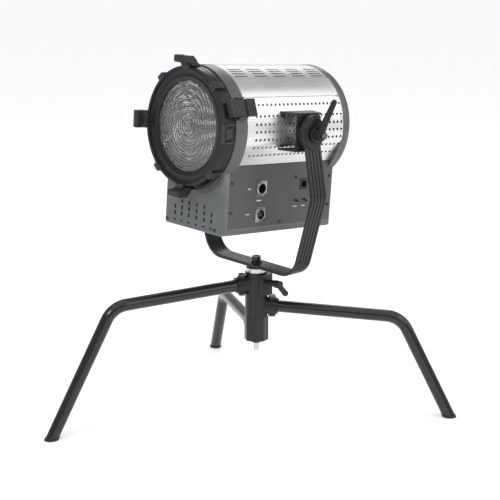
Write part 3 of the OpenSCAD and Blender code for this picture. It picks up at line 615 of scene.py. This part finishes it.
def house_open(i, j):
    """Whether a cell lies in a side window, the back window or a vent."""
    (x0, y0), (x1, y1) = outline[i % count], outline[(i + 1) % count]
    x, y = (x0 + x1) / 2, (y0 + y1) / 2
    low = levels[j]
    if abs(x) > HOUSE_X - 0.1 and SIDE_OPEN[0] < y < SIDE_OPEN[1]:
        return low >= SIDE_OPEN[2]
    if y > HOUSE_BACK - 0.1 and abs(x) < BACK_OPEN[0]:
        return low >= BACK_OPEN[1]
    if y < HOUSE_FRONT + 0.1 and low in VENT_ROWS:
        column = vent_column(x)
        rows = SHORT_ROWS if column in SHORT_COLUMNS else VENT_ROWS
        return abs(x - VENT_XS[column]) < VENT_W / 2 and low in rows
    return False


house = Shape()
windowed_sheet(
    house, list(range(count + 1)), list(range(top_level + 1)), house_open,
    lambda u, v: house_point(u, v, 0.0), lambda u, v: house_point(u, v, WALL),
)
floor_ring = [inset_point(x, y, 2.6) for x, y in outline]
house.loft([[(x, y, z) for x, y in floor_ring] for z in (HOUSE_LOW, HOUSE_LOW + WALL)])
piece("vented_housing", house, "lower_housing", smooth=28.0, shade_finish=shade_and_inner_black)

# ---------------------------------------------------------------- front of the lamp

FRONT_STEPS = 192
bezel = Shape()
bezel.lathe([
    (92.0, BEZEL_BACK), (115.2, BEZEL_BACK), (116.0, BEZEL_BACK + 0.8), (116.0, 171.0),
    (115.2, 171.6), (115.2, 173.0), (116.0, 173.6), (116.0, 184.0), (115.3, 187.6),
    (114.3, 189.6), (113.6, BEZEL_FRONT), (110.0, BEZEL_FRONT), (109.1, 189.2),
    (109.0, 184.9), (108.2, 184.5), (97.0, 183.6), (95.8, 184.1), (94.6, 183.4),
    (88.6, 182.5), (87.2, 182.0), (87.0, 181.4), (87.0, 180.4), (92.0, 180.4),
], FRONT_STEPS)
# Frame of the pocket at the socket side, standing out from the ring.
POCKET_HALF, POCKET_OUT = 18.0, 119.6
for low, high in (((108.0, -189.6, POCKET_HALF - 3.0), (POCKET_OUT, -164.0, POCKET_HALF)),
                  ((108.0, -189.6, -POCKET_HALF), (POCKET_OUT, -164.0, 3.0 - POCKET_HALF)),
                  ((111.0, -190.6, -POCKET_HALF), (POCKET_OUT, -187.6, POCKET_HALF)),
                  ((113.0, -184.0, -9.0), (118.0, -169.0, 9.0))):
    bezel.block(low, high)
# Clips round the rim, as degrees above +X.
CLIP_HALF = 8.0
for clip_angle in (47.0, 131.0, 229.0, 316.0):
    clip = Matrix.Rotation(math.radians(90.0 - clip_angle), 4, "Y")
    bezel.prism([(-163.0, 113.0), (-163.0, 118.0), (-176.0, 121.4), (-191.0, 121.4),
                 (-191.0, 109.6), (-188.0, 109.6), (-187.0, 113.0)],
                -CLIP_HALF, CLIP_HALF, "x", clip)
    bezel.block((-3.0, -192.2, 111.4), (3.0, -189.0, 119.4), clip)
# Curved rail from the lowest clip to the bottom ear.
RAIL_R, RAIL_AHEAD, RAIL_THICK, RAIL_HALF_W = 120.4, 172.0, 2.3, 5.0
RAIL_FROM, RAIL_SWEEP, RAIL_STEPS, RAIL_SIDES = -86.0, 40.0, 18, 12
rings = []
for k in range(RAIL_STEPS + 1):
    a = math.radians(RAIL_FROM + RAIL_SWEEP * k / RAIL_STEPS)
    ring = []
    for m in range(RAIL_SIDES):
        b = 2 * math.pi * m / RAIL_SIDES
        r = RAIL_R + RAIL_THICK * math.cos(b)
        ring.append((r * math.cos(a), -RAIL_AHEAD - RAIL_HALF_W * math.sin(b), r * math.sin(a)))
    rings.append(ring)
bezel.loft(rings)
piece("bezel_ring", bezel, "front_bezel", edge=0.35)

# Stepped lens: a smooth dome, then rings with a curved slope and a sharp riser.
CUT_R, RIM_R, CUT_TOP = LENS_R + 3.0, LENS_R + 4.6, LENS_FRONT - 0.2
DOME_DROP, DOME_POINTS, CUT_DROP, CUT_POINTS, CUT_GAP = 1.4, 6, 2.0, 4, 0.15
lens_step = CUT_R / LENS_STEPS
profile = [(0.0, CUT_TOP)]
for k in range(1, DOME_POINTS + 1):
    r = lens_step * k / DOME_POINTS
    profile.append((r, CUT_TOP - DOME_DROP * (r / lens_step) ** 2))
for cut in range(1, LENS_STEPS):
    r0 = cut * lens_step + CUT_GAP
    profile.append((r0, CUT_TOP))
    for k in range(1, CUT_POINTS + 1):
        t = k / CUT_POINTS
        profile.append((r0 + (lens_step - 2 * CUT_GAP) * t, CUT_TOP - CUT_DROP * t**1.6))
profile += [(CUT_R, LENS_FRONT), (RIM_R, LENS_FRONT),
            (RIM_R, LENS_FRONT - LENS_THICK), (0.0, LENS_FRONT - LENS_THICK)]
lens = Shape()
lens.lathe(profile, FRONT_STEPS)
piece("stepped_lens", lens, "fresnel_lens", smooth=30.0)

# Accessory ears: a neck sloping up from behind, a cheek on each side, a finned block in front.
EAR_HALF, NECK_HALF, CHEEK_T = 17.0, 11.0, 5.0
FIN_COUNT, FIN_FIRST, FIN_PITCH, FIN_T = 7, -14.6, 4.7, 1.6
ears = Shape()
for ear_angle in (90.0, 180.0, 270.0):
    turn = Matrix.Rotation(math.radians(90.0 - ear_angle), 4, "Y")
    ears.prism([(-163.0, 116.4), (-188.0, 116.4), (-188.6, 110.6), (-194.4, 110.4),
                (-194.4, 122.0), (-194.4, 134.6), (-186.0, 134.6), (-165.0, 118.6)],
               -NECK_HALF, NECK_HALF, "x", turn)
    for x in (-EAR_HALF, EAR_HALF - CHEEK_T):
        ears.prism([(-176.0, 116.0), (-188.0, 116.0), (-194.2, 122.4), (-194.2, 136.0),
                    (-187.0, 136.0), (-178.0, 127.0)], x, x + CHEEK_T, "x", turn)
    ears.prism([(-193.8, 122.4), (-206.0, 122.4), (-208.0, 124.4), (-208.0, 134.0),
                (-206.0, 136.0), (-193.8, 136.0)], -EAR_HALF, EAR_HALF, "x", turn)
    for k in range(FIN_COUNT):
        x = FIN_FIRST + k * FIN_PITCH
        ears.prism([(-196.0, 121.9), (-207.6, 121.9), (-207.6, 124.0), (-196.0, 124.0)],
                   x, x + FIN_T, "x", turn)
piece("finned_ears", ears, "accessory_ears", edge=0.7)

# Latch: two low ribbed pads and a taller one behind, on one plate. The pin is under the middle pad.
LATCH_HALF, LATCH_PLATE_HALF = 17.0, 16.4
RIB_HALF, RIB_W, RIB_STAND, RIB_MARGIN = 16.2, 2.8, 1.2, 0.8
pin = IN_HEAD.inverted() @ Vector(joints["latch_press"]["pos_m"])
latch = Shape(turned_about_lamp(math.degrees(math.atan2(pin.z, pin.x))))
latch.prism([(-177.6, 118.6), (-177.6, 128.4), (-172.0, 129.6), (-119.0, 129.6),
             (-119.0, 126.8), (-138.0, 124.4), (-172.6, 124.4), (-172.6, 118.6)],
            -LATCH_PLATE_HALF, LATCH_PLATE_HALF, "x")
for low_y, high_y, rise, ribs in ((-176.6, -160.0, 131.4, 3), (-157.0, -141.0, 130.6, 3),
                                  (-140.0, -118.2, 134.8, 5)):
    latch.block((-LATCH_HALF, low_y, 127.0), (LATCH_HALF, high_y, rise - RIB_STAND))
    for k in range(ribs):
        y = low_y + RIB_MARGIN + k * (high_y - low_y - (2 * RIB_MARGIN + RIB_W)) / (ribs - 1)
        latch.block((-RIB_HALF, y, rise - 1.6), (RIB_HALF, y + RIB_W, rise))
piece("ribbed_latch", latch, "accessory_latch", edge=0.5)

# ---------------------------------------------------------------- side brackets

BRACKET_X, BRACKET_LOW, BRACKET_HIGH, PLATE = 148.6, -36.0, 39.0, 4.0
BORE = 5.05
BRACKET_ROOT_LOW = 113.2                     # inner end of the lower plate
brackets = Shape()
for low, high in ((BRACKET_LOW, BRACKET_LOW + PLATE), (BRACKET_HIGH - PLATE, BRACKET_HIGH)):
    root = math.sqrt((BARREL_R + 0.1) ** 2 - high * high) if low > 0 else BRACKET_ROOT_LOW
    brackets.prism([(root, -45.0), (118.0, -42.0), (BRACKET_X, -31.0), (BRACKET_X, 31.0),
                    (118.0, 42.0), (root, 45.0)], low, high, "z")
# Outer plate with its pivot bore, as a ring between two outlines.
ring_n = 48
square, hole = [], []
half_w, z_mid = 31.0, (BRACKET_LOW + BRACKET_HIGH) / 2
half_h = (BRACKET_HIGH - BRACKET_LOW) / 2 - PLATE
for k in range(ring_n):
    a = 2 * math.pi * k / ring_n
    c, s = math.cos(a), math.sin(a)
    reach = min(half_w / max(abs(c), 1e-6), half_h / max(abs(s), 1e-6))
    square.append((reach * c, z_mid + reach * s))
    hole.append((BORE * c, BORE * s))
brackets.loft([[(x, y, z) for y, z in edge] for x, edge in (
    (BRACKET_X - PLATE, hole), (BRACKET_X, hole), (BRACKET_X, square),
    (BRACKET_X - PLATE, square))], loop=True)
# Two bolt heads at the barrel, just inside each plate.
BOLT_Y, BOLT_IN, BOLT_HEAD_R = 38.0, 7.0, 3.6
for z in (BRACKET_LOW + PLATE / 2, BRACKET_HIGH - PLATE / 2):
    x = math.sqrt(BARREL_R**2 - z * z)
    bolt_z = z - math.copysign(BOLT_IN, z)
    for y in (-BOLT_Y, BOLT_Y):
        brackets.rod([(x - 2.0, BOLT_HEAD_R), (x + 4.4, BOLT_HEAD_R), (x + 5.0, 3.0)],
                     Matrix.Translation((0.0, y, bolt_z)), 24)
mirrored(brackets)
piece("gusset_brackets", brackets, "side_brackets", edge=0.6)

# ---------------------------------------------------------------- yoke

YOKE_W, YOKE_T, YOKE_LOW = 40.0, 6.5, 313.4
CORNER, KNEE = (140.0, 358.0), Vector((179.0, 483.0))
BOSS_IN, BOSS_T, BOSS_W, BOSS_H = 152.9, 14.0, 52.0, 70.0
HEAD_Z = tilt_z / MM


def rounded_corner(a, b, c, r, count):
    """Points of an arc that rounds the corner at b."""
    u, w = (a - b).normalized(), (c - b).normalized()
    half = math.acos(u.dot(w)) / 2
    centre = b + (u + w).normalized() * (r / math.sin(half))
    first = b + u * (r / math.tan(half)) - centre
    final = b + w * (r / math.tan(half)) - centre
    start = math.atan2(first.y, first.x)
    sweep = (math.atan2(final.y, final.x) - start + math.pi) % (2 * math.pi) - math.pi
    return [
        centre + Vector((math.cos(start + sweep * k / count),
                         math.sin(start + sweep * k / count))) * r
        for k in range(count + 1)
    ]


mid_z = YOKE_LOW + YOKE_T / 2
shin = (KNEE - Vector(CORNER)).normalized()
heel = Vector((CORNER[0] - (CORNER[1] - mid_z) * shin.x / shin.y, mid_z))
strap_end = Vector((BOSS_IN + BOSS_T / 2 - 0.5, HEAD_Z - 22.0))
middle = Vector((0.0, mid_z))
half_line = [middle, *rounded_corner(middle, heel, KNEE, 48.0, 24),
             *rounded_corner(heel, KNEE, strap_end, 34.0, 12), strap_end]
line = [Vector((-p.x, p.y)) for p in half_line[:0:-1]] + half_line

# Section of the strap as (across, out): soft edges and four grooves along the outer face.
GROOVES_AT, GROOVE_HALF, GROOVE_DEEP = (-12.9, -4.3, 4.3, 12.9), 1.1, 1.5
half_t, half_y = YOKE_T / 2, YOKE_W / 2
section = [(-half_y, -half_t + 0.9), (-half_y + 0.9, -half_t), (half_y - 0.9, -half_t),
           (half_y, -half_t + 0.9), (half_y, half_t - 1.0), (half_y - 1.0, half_t)]
for at in GROOVES_AT[::-1]:
    section += [(at + GROOVE_HALF + 0.35, half_t), (at + GROOVE_HALF, half_t - 0.4),
                (at + GROOVE_HALF * 0.6, half_t - GROOVE_DEEP),
                (at - GROOVE_HALF * 0.6, half_t - GROOVE_DEEP),
                (at - GROOVE_HALF, half_t - 0.4), (at - GROOVE_HALF - 0.35, half_t)]
section += [(-half_y + 1.0, half_t), (-half_y, half_t - 1.0)]

strap = Shape(ON_FLOOR)
rings = []
for k, p in enumerate(line):
    before, after = line[max(k - 1, 0)], line[min(k + 1, len(line) - 1)]
    way = (after - before).normalized()
    out = Vector((way.y, -way.x))
    rings.append([(p.x + out.x * o, across, p.y + out.y * o) for across, o in section])
strap.loft(rings)
piece("grooved_yoke", strap, "yoke", smooth=38.0)

# Oval bosses with a stepped rim and a bore for the pivot.
bosses = Shape(ON_FLOOR @ Matrix.Translation((0, 0, tilt_z)))


def oval(grow, count=48):
    w, h = BOSS_W / 2 + grow, (BOSS_H - BOSS_W) / 2
    points = []
    for k in range(count):
        a = 2 * math.pi * (k + 0.5) / count
        points.append((w * math.cos(a), w * math.sin(a) + (h if math.sin(a) > 0 else -h)))
    return points


def circle(r, count=48):
    return [(r * math.cos(2 * math.pi * (k + 0.5) / count),
             r * math.sin(2 * math.pi * (k + 0.5) / count)) for k in range(count)]


out_x = BOSS_IN + BOSS_T
bosses.loft([[(x, y, z) for y, z in edge] for x, edge in (
    (BOSS_IN, circle(BORE)), (BOSS_IN, oval(-1.2)), (BOSS_IN + 1.2, oval(0.0)),
    (out_x - 4.6, oval(0.0)), (out_x - 3.6, oval(-0.8)), (out_x - 3.2, oval(-2.4)),
    (out_x - 1.0, oval(-3.4)), (out_x, oval(-4.8)), (out_x, circle(17.6)),
    (out_x - 0.8, circle(16.8)), (out_x - 0.8, circle(BORE)))], loop=True)
mirrored(bosses)
piece("oval_bosses", bosses, "yoke_bosses", smooth=28.0)

# Tilt lever: a ribbed hub and a tapered arm that leans back.
LEVER_LOW, LEVER_LEAN, LEVER_LEN = BOSS_IN + BOSS_T + 0.3, 33.0, 76.0
lever = Shape(ON_FLOOR @ Matrix.Translation((0, 0, tilt_z)))
lever.rod([(LEVER_LOW, 14.0), (LEVER_LOW + 0.8, 15.0), (LEVER_LOW + 4.2, 15.0),
           (LEVER_LOW + 5.0, 14.2), (LEVER_LOW + 5.6, 10.5), (LEVER_LOW + 20.8, 10.3),
           (LEVER_LOW + 22.0, 9.2)])
arm = (Matrix.Rotation(math.radians(-LEVER_LEAN), 4, "X")
       @ Matrix.Translation((LEVER_LOW + 12.0, 0, 0)) @ Matrix.Rotation(-math.pi / 2, 4, "Y"))
lever.rod([(4.0, 8.2), (11.0, 7.6), (22.0, 6.9), (60.0, 5.7), (70.0, 5.5), (73.0, 5.1),
           (75.0, 3.8), (LEVER_LEN - 0.4, 1.6)], arm, 32)
for k in range(12):
    turn = Matrix.Rotation(2 * math.pi * k / 12, 4, "X")
    lever.block((LEVER_LOW + 7.0, 9.2, -0.9), (LEVER_LOW + 19.0, 11.0, 0.9), turn)
piece("tapered_lever", lever, "tilt_lever", edge=0.3)

# ---------------------------------------------------------------- turtle base

LEG_R, LEG_BEND, LEG_SLOPE, LEG_START, FOOT_H = 12.5, 50.0, math.radians(3.0), 19.0, 5.0
LEGS = {  # compass angle, height at the hub, reach of the bend, reach of the foot
    "top_leg": (-108.8, 276.6, 311.6, 446.4),
    "middle_leg": (40.5, 228.9, 299.7, 406.6),
    "lower_leg": (151.8, 180.4, 306.2, 404.7),
}
BEND_STEPS, TUBE_SIDES = 24, 56


def leg_tube(node):
    """A painted tube: straight, a bend, then down to its rubber foot."""
    compass, high, bend, reach = LEGS[node]
    low = high - bend * math.tan(LEG_SLOPE)
    steep = math.atan2(low, reach - bend)
    back = LEG_BEND * math.tan((steep - LEG_SLOPE) / 2)

    def falling(angle):
        return Vector((math.cos(angle), -math.sin(angle)))

    top_of_leg = Vector((0.0, high))
    start = top_of_leg + falling(LEG_SLOPE) * (bend / math.cos(LEG_SLOPE) - back)
    centre = start - Vector((math.sin(LEG_SLOPE), math.cos(LEG_SLOPE))) * LEG_BEND
    stations = [(top_of_leg + falling(LEG_SLOPE) * LEG_START, LEG_SLOPE)]
    for k in range(BEND_STEPS + 1):
        angle = LEG_SLOPE + (steep - LEG_SLOPE) * k / BEND_STEPS
        out = Vector((math.sin(angle), math.cos(angle)))
        stations.append((centre + out * LEG_BEND, angle))
    end = Vector((reach, 0.0)) - falling(steep) * (FOOT_H / math.sin(steep))
    rings = []
    for p, angle in stations:
        rings.append([
            (p.x + LEG_R * math.sin(a) * math.sin(angle), LEG_R * math.cos(a),
             p.y + LEG_R * math.sin(a) * math.cos(angle))
            for a in (2 * math.pi * k / TUBE_SIDES for k in range(TUBE_SIDES))
        ])
    # The foot end is cut level with the floor.
    way = falling(steep)
    cut = []
    for k in range(TUBE_SIDES):
        a = 2 * math.pi * k / TUBE_SIDES
        x = end.x + LEG_R * math.sin(a) * math.sin(steep)
        z = end.y + LEG_R * math.sin(a) * math.cos(steep)
        t = (z - FOOT_H) / -way.y
        cut.append((x + way.x * t, LEG_R * math.cos(a), FOOT_H))
    rings.append(cut)
    shape = Shape(ON_FLOOR @ Matrix.Rotation(math.radians(compass), 4, "Z"))
    shape.loft(rings)
    return shape


for node in LEGS:
    piece(node + "_tube", leg_tube(node), node)

for node, edge in (("top_casting", 1.2), ("middle_casting", 1.2), ("lower_casting", 1.2),
                   ("tie_nut", 0.5), ("spigot_lever", 0.6), ("spigot", 0.5),
                   ("yoke_washer", 0.4), ("focus_knob", 0.4), ("pivot_cap", 0.6)):
    eased_copy(node, edge)

# ---------------------------------------------------------------- round sockets

SOCKET_Y, SOCKET_IN_Z, SOCKET_OUT_Z = -57.0, -114.5, -166.0
FLANGE_HALF_W, FLANGE_HALF_H, FLANGE_T, SQUARENESS = 13.0, 15.5, 1.6, 0.3
SOCKET_BACK, SOCKET_FLOOR, SOCKET_RIM = HOUSE_X - 20.0, HOUSE_X - 18.0, HOUSE_X + 3.2
BORE_R, SHELL_R, PLUG_R, PIN_CIRCLE = 9.6, 11.6, 7.9, 3.6
FLANGE_STEPS = 64
SCREW_AT = (10.0, 12.6)                     # two screws on one diagonal of the flange
QUARTER_TURN = math.radians(90.0)
PIN_ANGLES = [math.radians(a) for a in (90, 210, 330)]


def squared(value):
    """Pushes a sine or cosine outwards, so that a circle becomes a soft-cornered square."""
    return math.copysign(abs(value) ** SQUARENESS, value)


def socket_pieces(node, z, pins):
    """Nickel flange and shell of a round three-pole socket, with its black insert."""
    here = Matrix.Translation((0.0, SOCKET_Y, z))
    along_x = here @ Matrix.Rotation(QUARTER_TURN, 4, "Z")
    shell, insert = Shape(), Shape()
    angles = [2 * math.pi * k / FLANGE_STEPS for k in range(FLANGE_STEPS)]
    outline = [(FLANGE_HALF_W * squared(math.cos(a)),
                FLANGE_HALF_H * squared(math.sin(a))) for a in angles]
    bore = [(BORE_R * math.cos(a), BORE_R * math.sin(a)) for a in angles]
    face_x = HOUSE_X + FLANGE_T
    rings = ((outline, HOUSE_X), (outline, face_x), (bore, face_x), (bore, HOUSE_X))
    shell.loft([[(x, *point) for point in line] for line, x in rings], here, loop=True)
    shell.lathe([(BORE_R, SOCKET_BACK), (SHELL_R, SOCKET_BACK), (SHELL_R, SOCKET_RIM - 0.6),
                 (SHELL_R - 0.5, SOCKET_RIM), (BORE_R + 0.4, SOCKET_RIM),
                 (BORE_R, SOCKET_RIM - 0.4)], FLANGE_STEPS, along_x)
    insert.lathe([(BORE_R - 0.5, SOCKET_BACK + 1.0), (BORE_R, SOCKET_BACK + 1.0),
                  (BORE_R, HOUSE_X + 2.0), (BORE_R - 0.5, HOUSE_X + 2.0)], FLANGE_STEPS, along_x)
    floor_x = SOCKET_FLOOR if pins else HOUSE_X - 0.6
    insert.rod([(SOCKET_BACK + 0.5, PLUG_R + 1.4), (SOCKET_FLOOR, PLUG_R + 1.4)], here)
    if not pins:
        insert.rod([(SOCKET_FLOOR, PLUG_R), (floor_x - 0.5, PLUG_R), (floor_x, PLUG_R - 0.5)],
                   here)
    for a in PIN_ANGLES:
        spot = Matrix.Translation((0, PIN_CIRCLE * math.cos(a), PIN_CIRCLE * math.sin(a))) @ here
        if pins:
            shell.rod([(floor_x - 1, 1.2), (HOUSE_X - 6.4, 1.2), (HOUSE_X - 5.6, 0.5)], spot, 16)
        else:
            shell.lathe([(0.9, floor_x - 3), (1.4, floor_x - 3), (1.4, floor_x + 0.1),
                         (0.9, floor_x + 0.1)], 16,
                        spot @ Matrix.Rotation(QUARTER_TURN, 4, "Z"))
    for side in (-1, 1):
        corner = Matrix.Translation((0, -SCREW_AT[0] * side, SCREW_AT[1] * side)) @ here
        insert.rod([(HOUSE_X + 1.2, 1.9), (HOUSE_X + 2.2, 1.9), (HOUSE_X + 2.7, 1.2)], corner, 20)
    piece(node + "_shell", shell, node, 0.15)
    as_piece(node + "_insert", insert, body_of[node], mats["panel_black"])


socket_pieces("xlr_in", SOCKET_IN_Z, True)
socket_pieces("xlr_out", SOCKET_OUT_Z, False)

# ---------------------------------------------------------------- printed marks

marks = Shape()
MARK_X = HOUSE_X + 0.06
for y, z, half_len, half_high in (
    (-89.0, -114.0, 4.0, 0.9), (-90.0, -164.0, 4.6, 0.9), (-62.0, -138.0, 6.0, 1.3),
    (37.0, -156.0, 6.0, 0.9), (60.0, -156.0, 5.0, 0.9),
):
    marks.block((MARK_X - 0.2, y - half_len, z - half_high),
                (MARK_X + 0.06, y + half_len, z + half_high))
as_piece("socket_marks", marks, "head", mark_white)

# ---------------------------------------------------------------- floor, light, camera


def aim(obj, target):
    obj.rotation_euler = (Vector(target) - obj.location).to_track_quat("-Z", "Y").to_euler()


FLOOR_HALF, FLOOR_Z = 30.0, -0.0005
FLOOR_GLOW, SKY_STRENGTH = 0.3, 0.42
floor_mesh = bpy.data.meshes.new("floor")
floor_mesh.from_pydata(
    [(-FLOOR_HALF, -FLOOR_HALF, FLOOR_Z), (FLOOR_HALF, -FLOOR_HALF, FLOOR_Z),
     (FLOOR_HALF, FLOOR_HALF, FLOOR_Z), (-FLOOR_HALF, FLOOR_HALF, FLOOR_Z)], [], [(0, 1, 2, 3)]
)
floor = bpy.data.objects.new("floor", floor_mesh)
bpy.context.scene.collection.objects.link(floor)
floor_finish = coated("pale_floor", (0.88, 0.88, 0.88), 0.8, grain=(40.0, 0.02, 0.2), blotch=0.01)
floor_shader = floor_finish.node_tree.nodes["Principled BSDF"]
floor_shader.inputs["Emission Color"].default_value = (1.0, 1.0, 1.0, 1.0)
floor_shader.inputs["Emission Strength"].default_value = FLOOR_GLOW
floor_mesh.materials.append(floor_finish)

world = bpy.context.scene.world or bpy.data.worlds.new("studio")
bpy.context.scene.world = world
world.use_nodes = True
sky = world.node_tree.nodes["Background"]
sky.inputs["Color"].default_value = (1.0, 1.0, 1.0, 1.0)
sky.inputs["Strength"].default_value = SKY_STRENGTH

centre = Vector((hub_x, hub_y, 0.5))
for name, place, size, watts in (
    ("key", (0.7, -2.6, 2.2), 0.6, 20.0),
    ("flank", (2.0, 2.1, 1.9), 2.4, 24.0),
    ("side", (2.6, 0.0, 1.5), 1.0, 6.0),
    ("rim", (-1.8, 2.2, 2.0), 1.2, 12.0),
):
    light = bpy.data.objects.new(name, bpy.data.lights.new(name, "AREA"))
    light.data.shape, light.data.size, light.data.energy = "SQUARE", size, watts
    light.location = place
    aim(light, centre)
    bpy.context.scene.collection.objects.link(light)

sun = bpy.data.objects.new("overhead", bpy.data.lights.new("overhead", "SUN"))
sun.data.energy, sun.data.angle = 1.1, math.radians(90.0)
sun.location = (0.8, -0.8, 4.0)
aim(sun, (hub_x, hub_y, 0.0))
bpy.context.scene.collection.objects.link(sun)

CAMERA_FROM_HUB = (1.9414, -1.7671)
CAMERA_Z, HEADING, PITCH, LENS_MM = 1.0440, 137.98, -14.904, 94.9
camera = bpy.data.objects.new("camera", bpy.data.cameras.new("camera"))
camera.data.sensor_width, camera.data.lens = 36.0, LENS_MM
camera.location = (hub_x + CAMERA_FROM_HUB[0], hub_y + CAMERA_FROM_HUB[1], CAMERA_Z)
heading, pitch = math.radians(HEADING), math.radians(PITCH)
look = Vector((math.cos(pitch) * math.cos(heading), math.cos(pitch) * math.sin(heading),
               math.sin(pitch)))
camera.rotation_euler = look.to_track_quat("-Z", "Y").to_euler()
bpy.context.scene.collection.objects.link(camera)
bpy.context.scene.camera = camera
bpy.context.scene.view_settings.view_transform = "Standard"

bpy.context.view_layer.update()
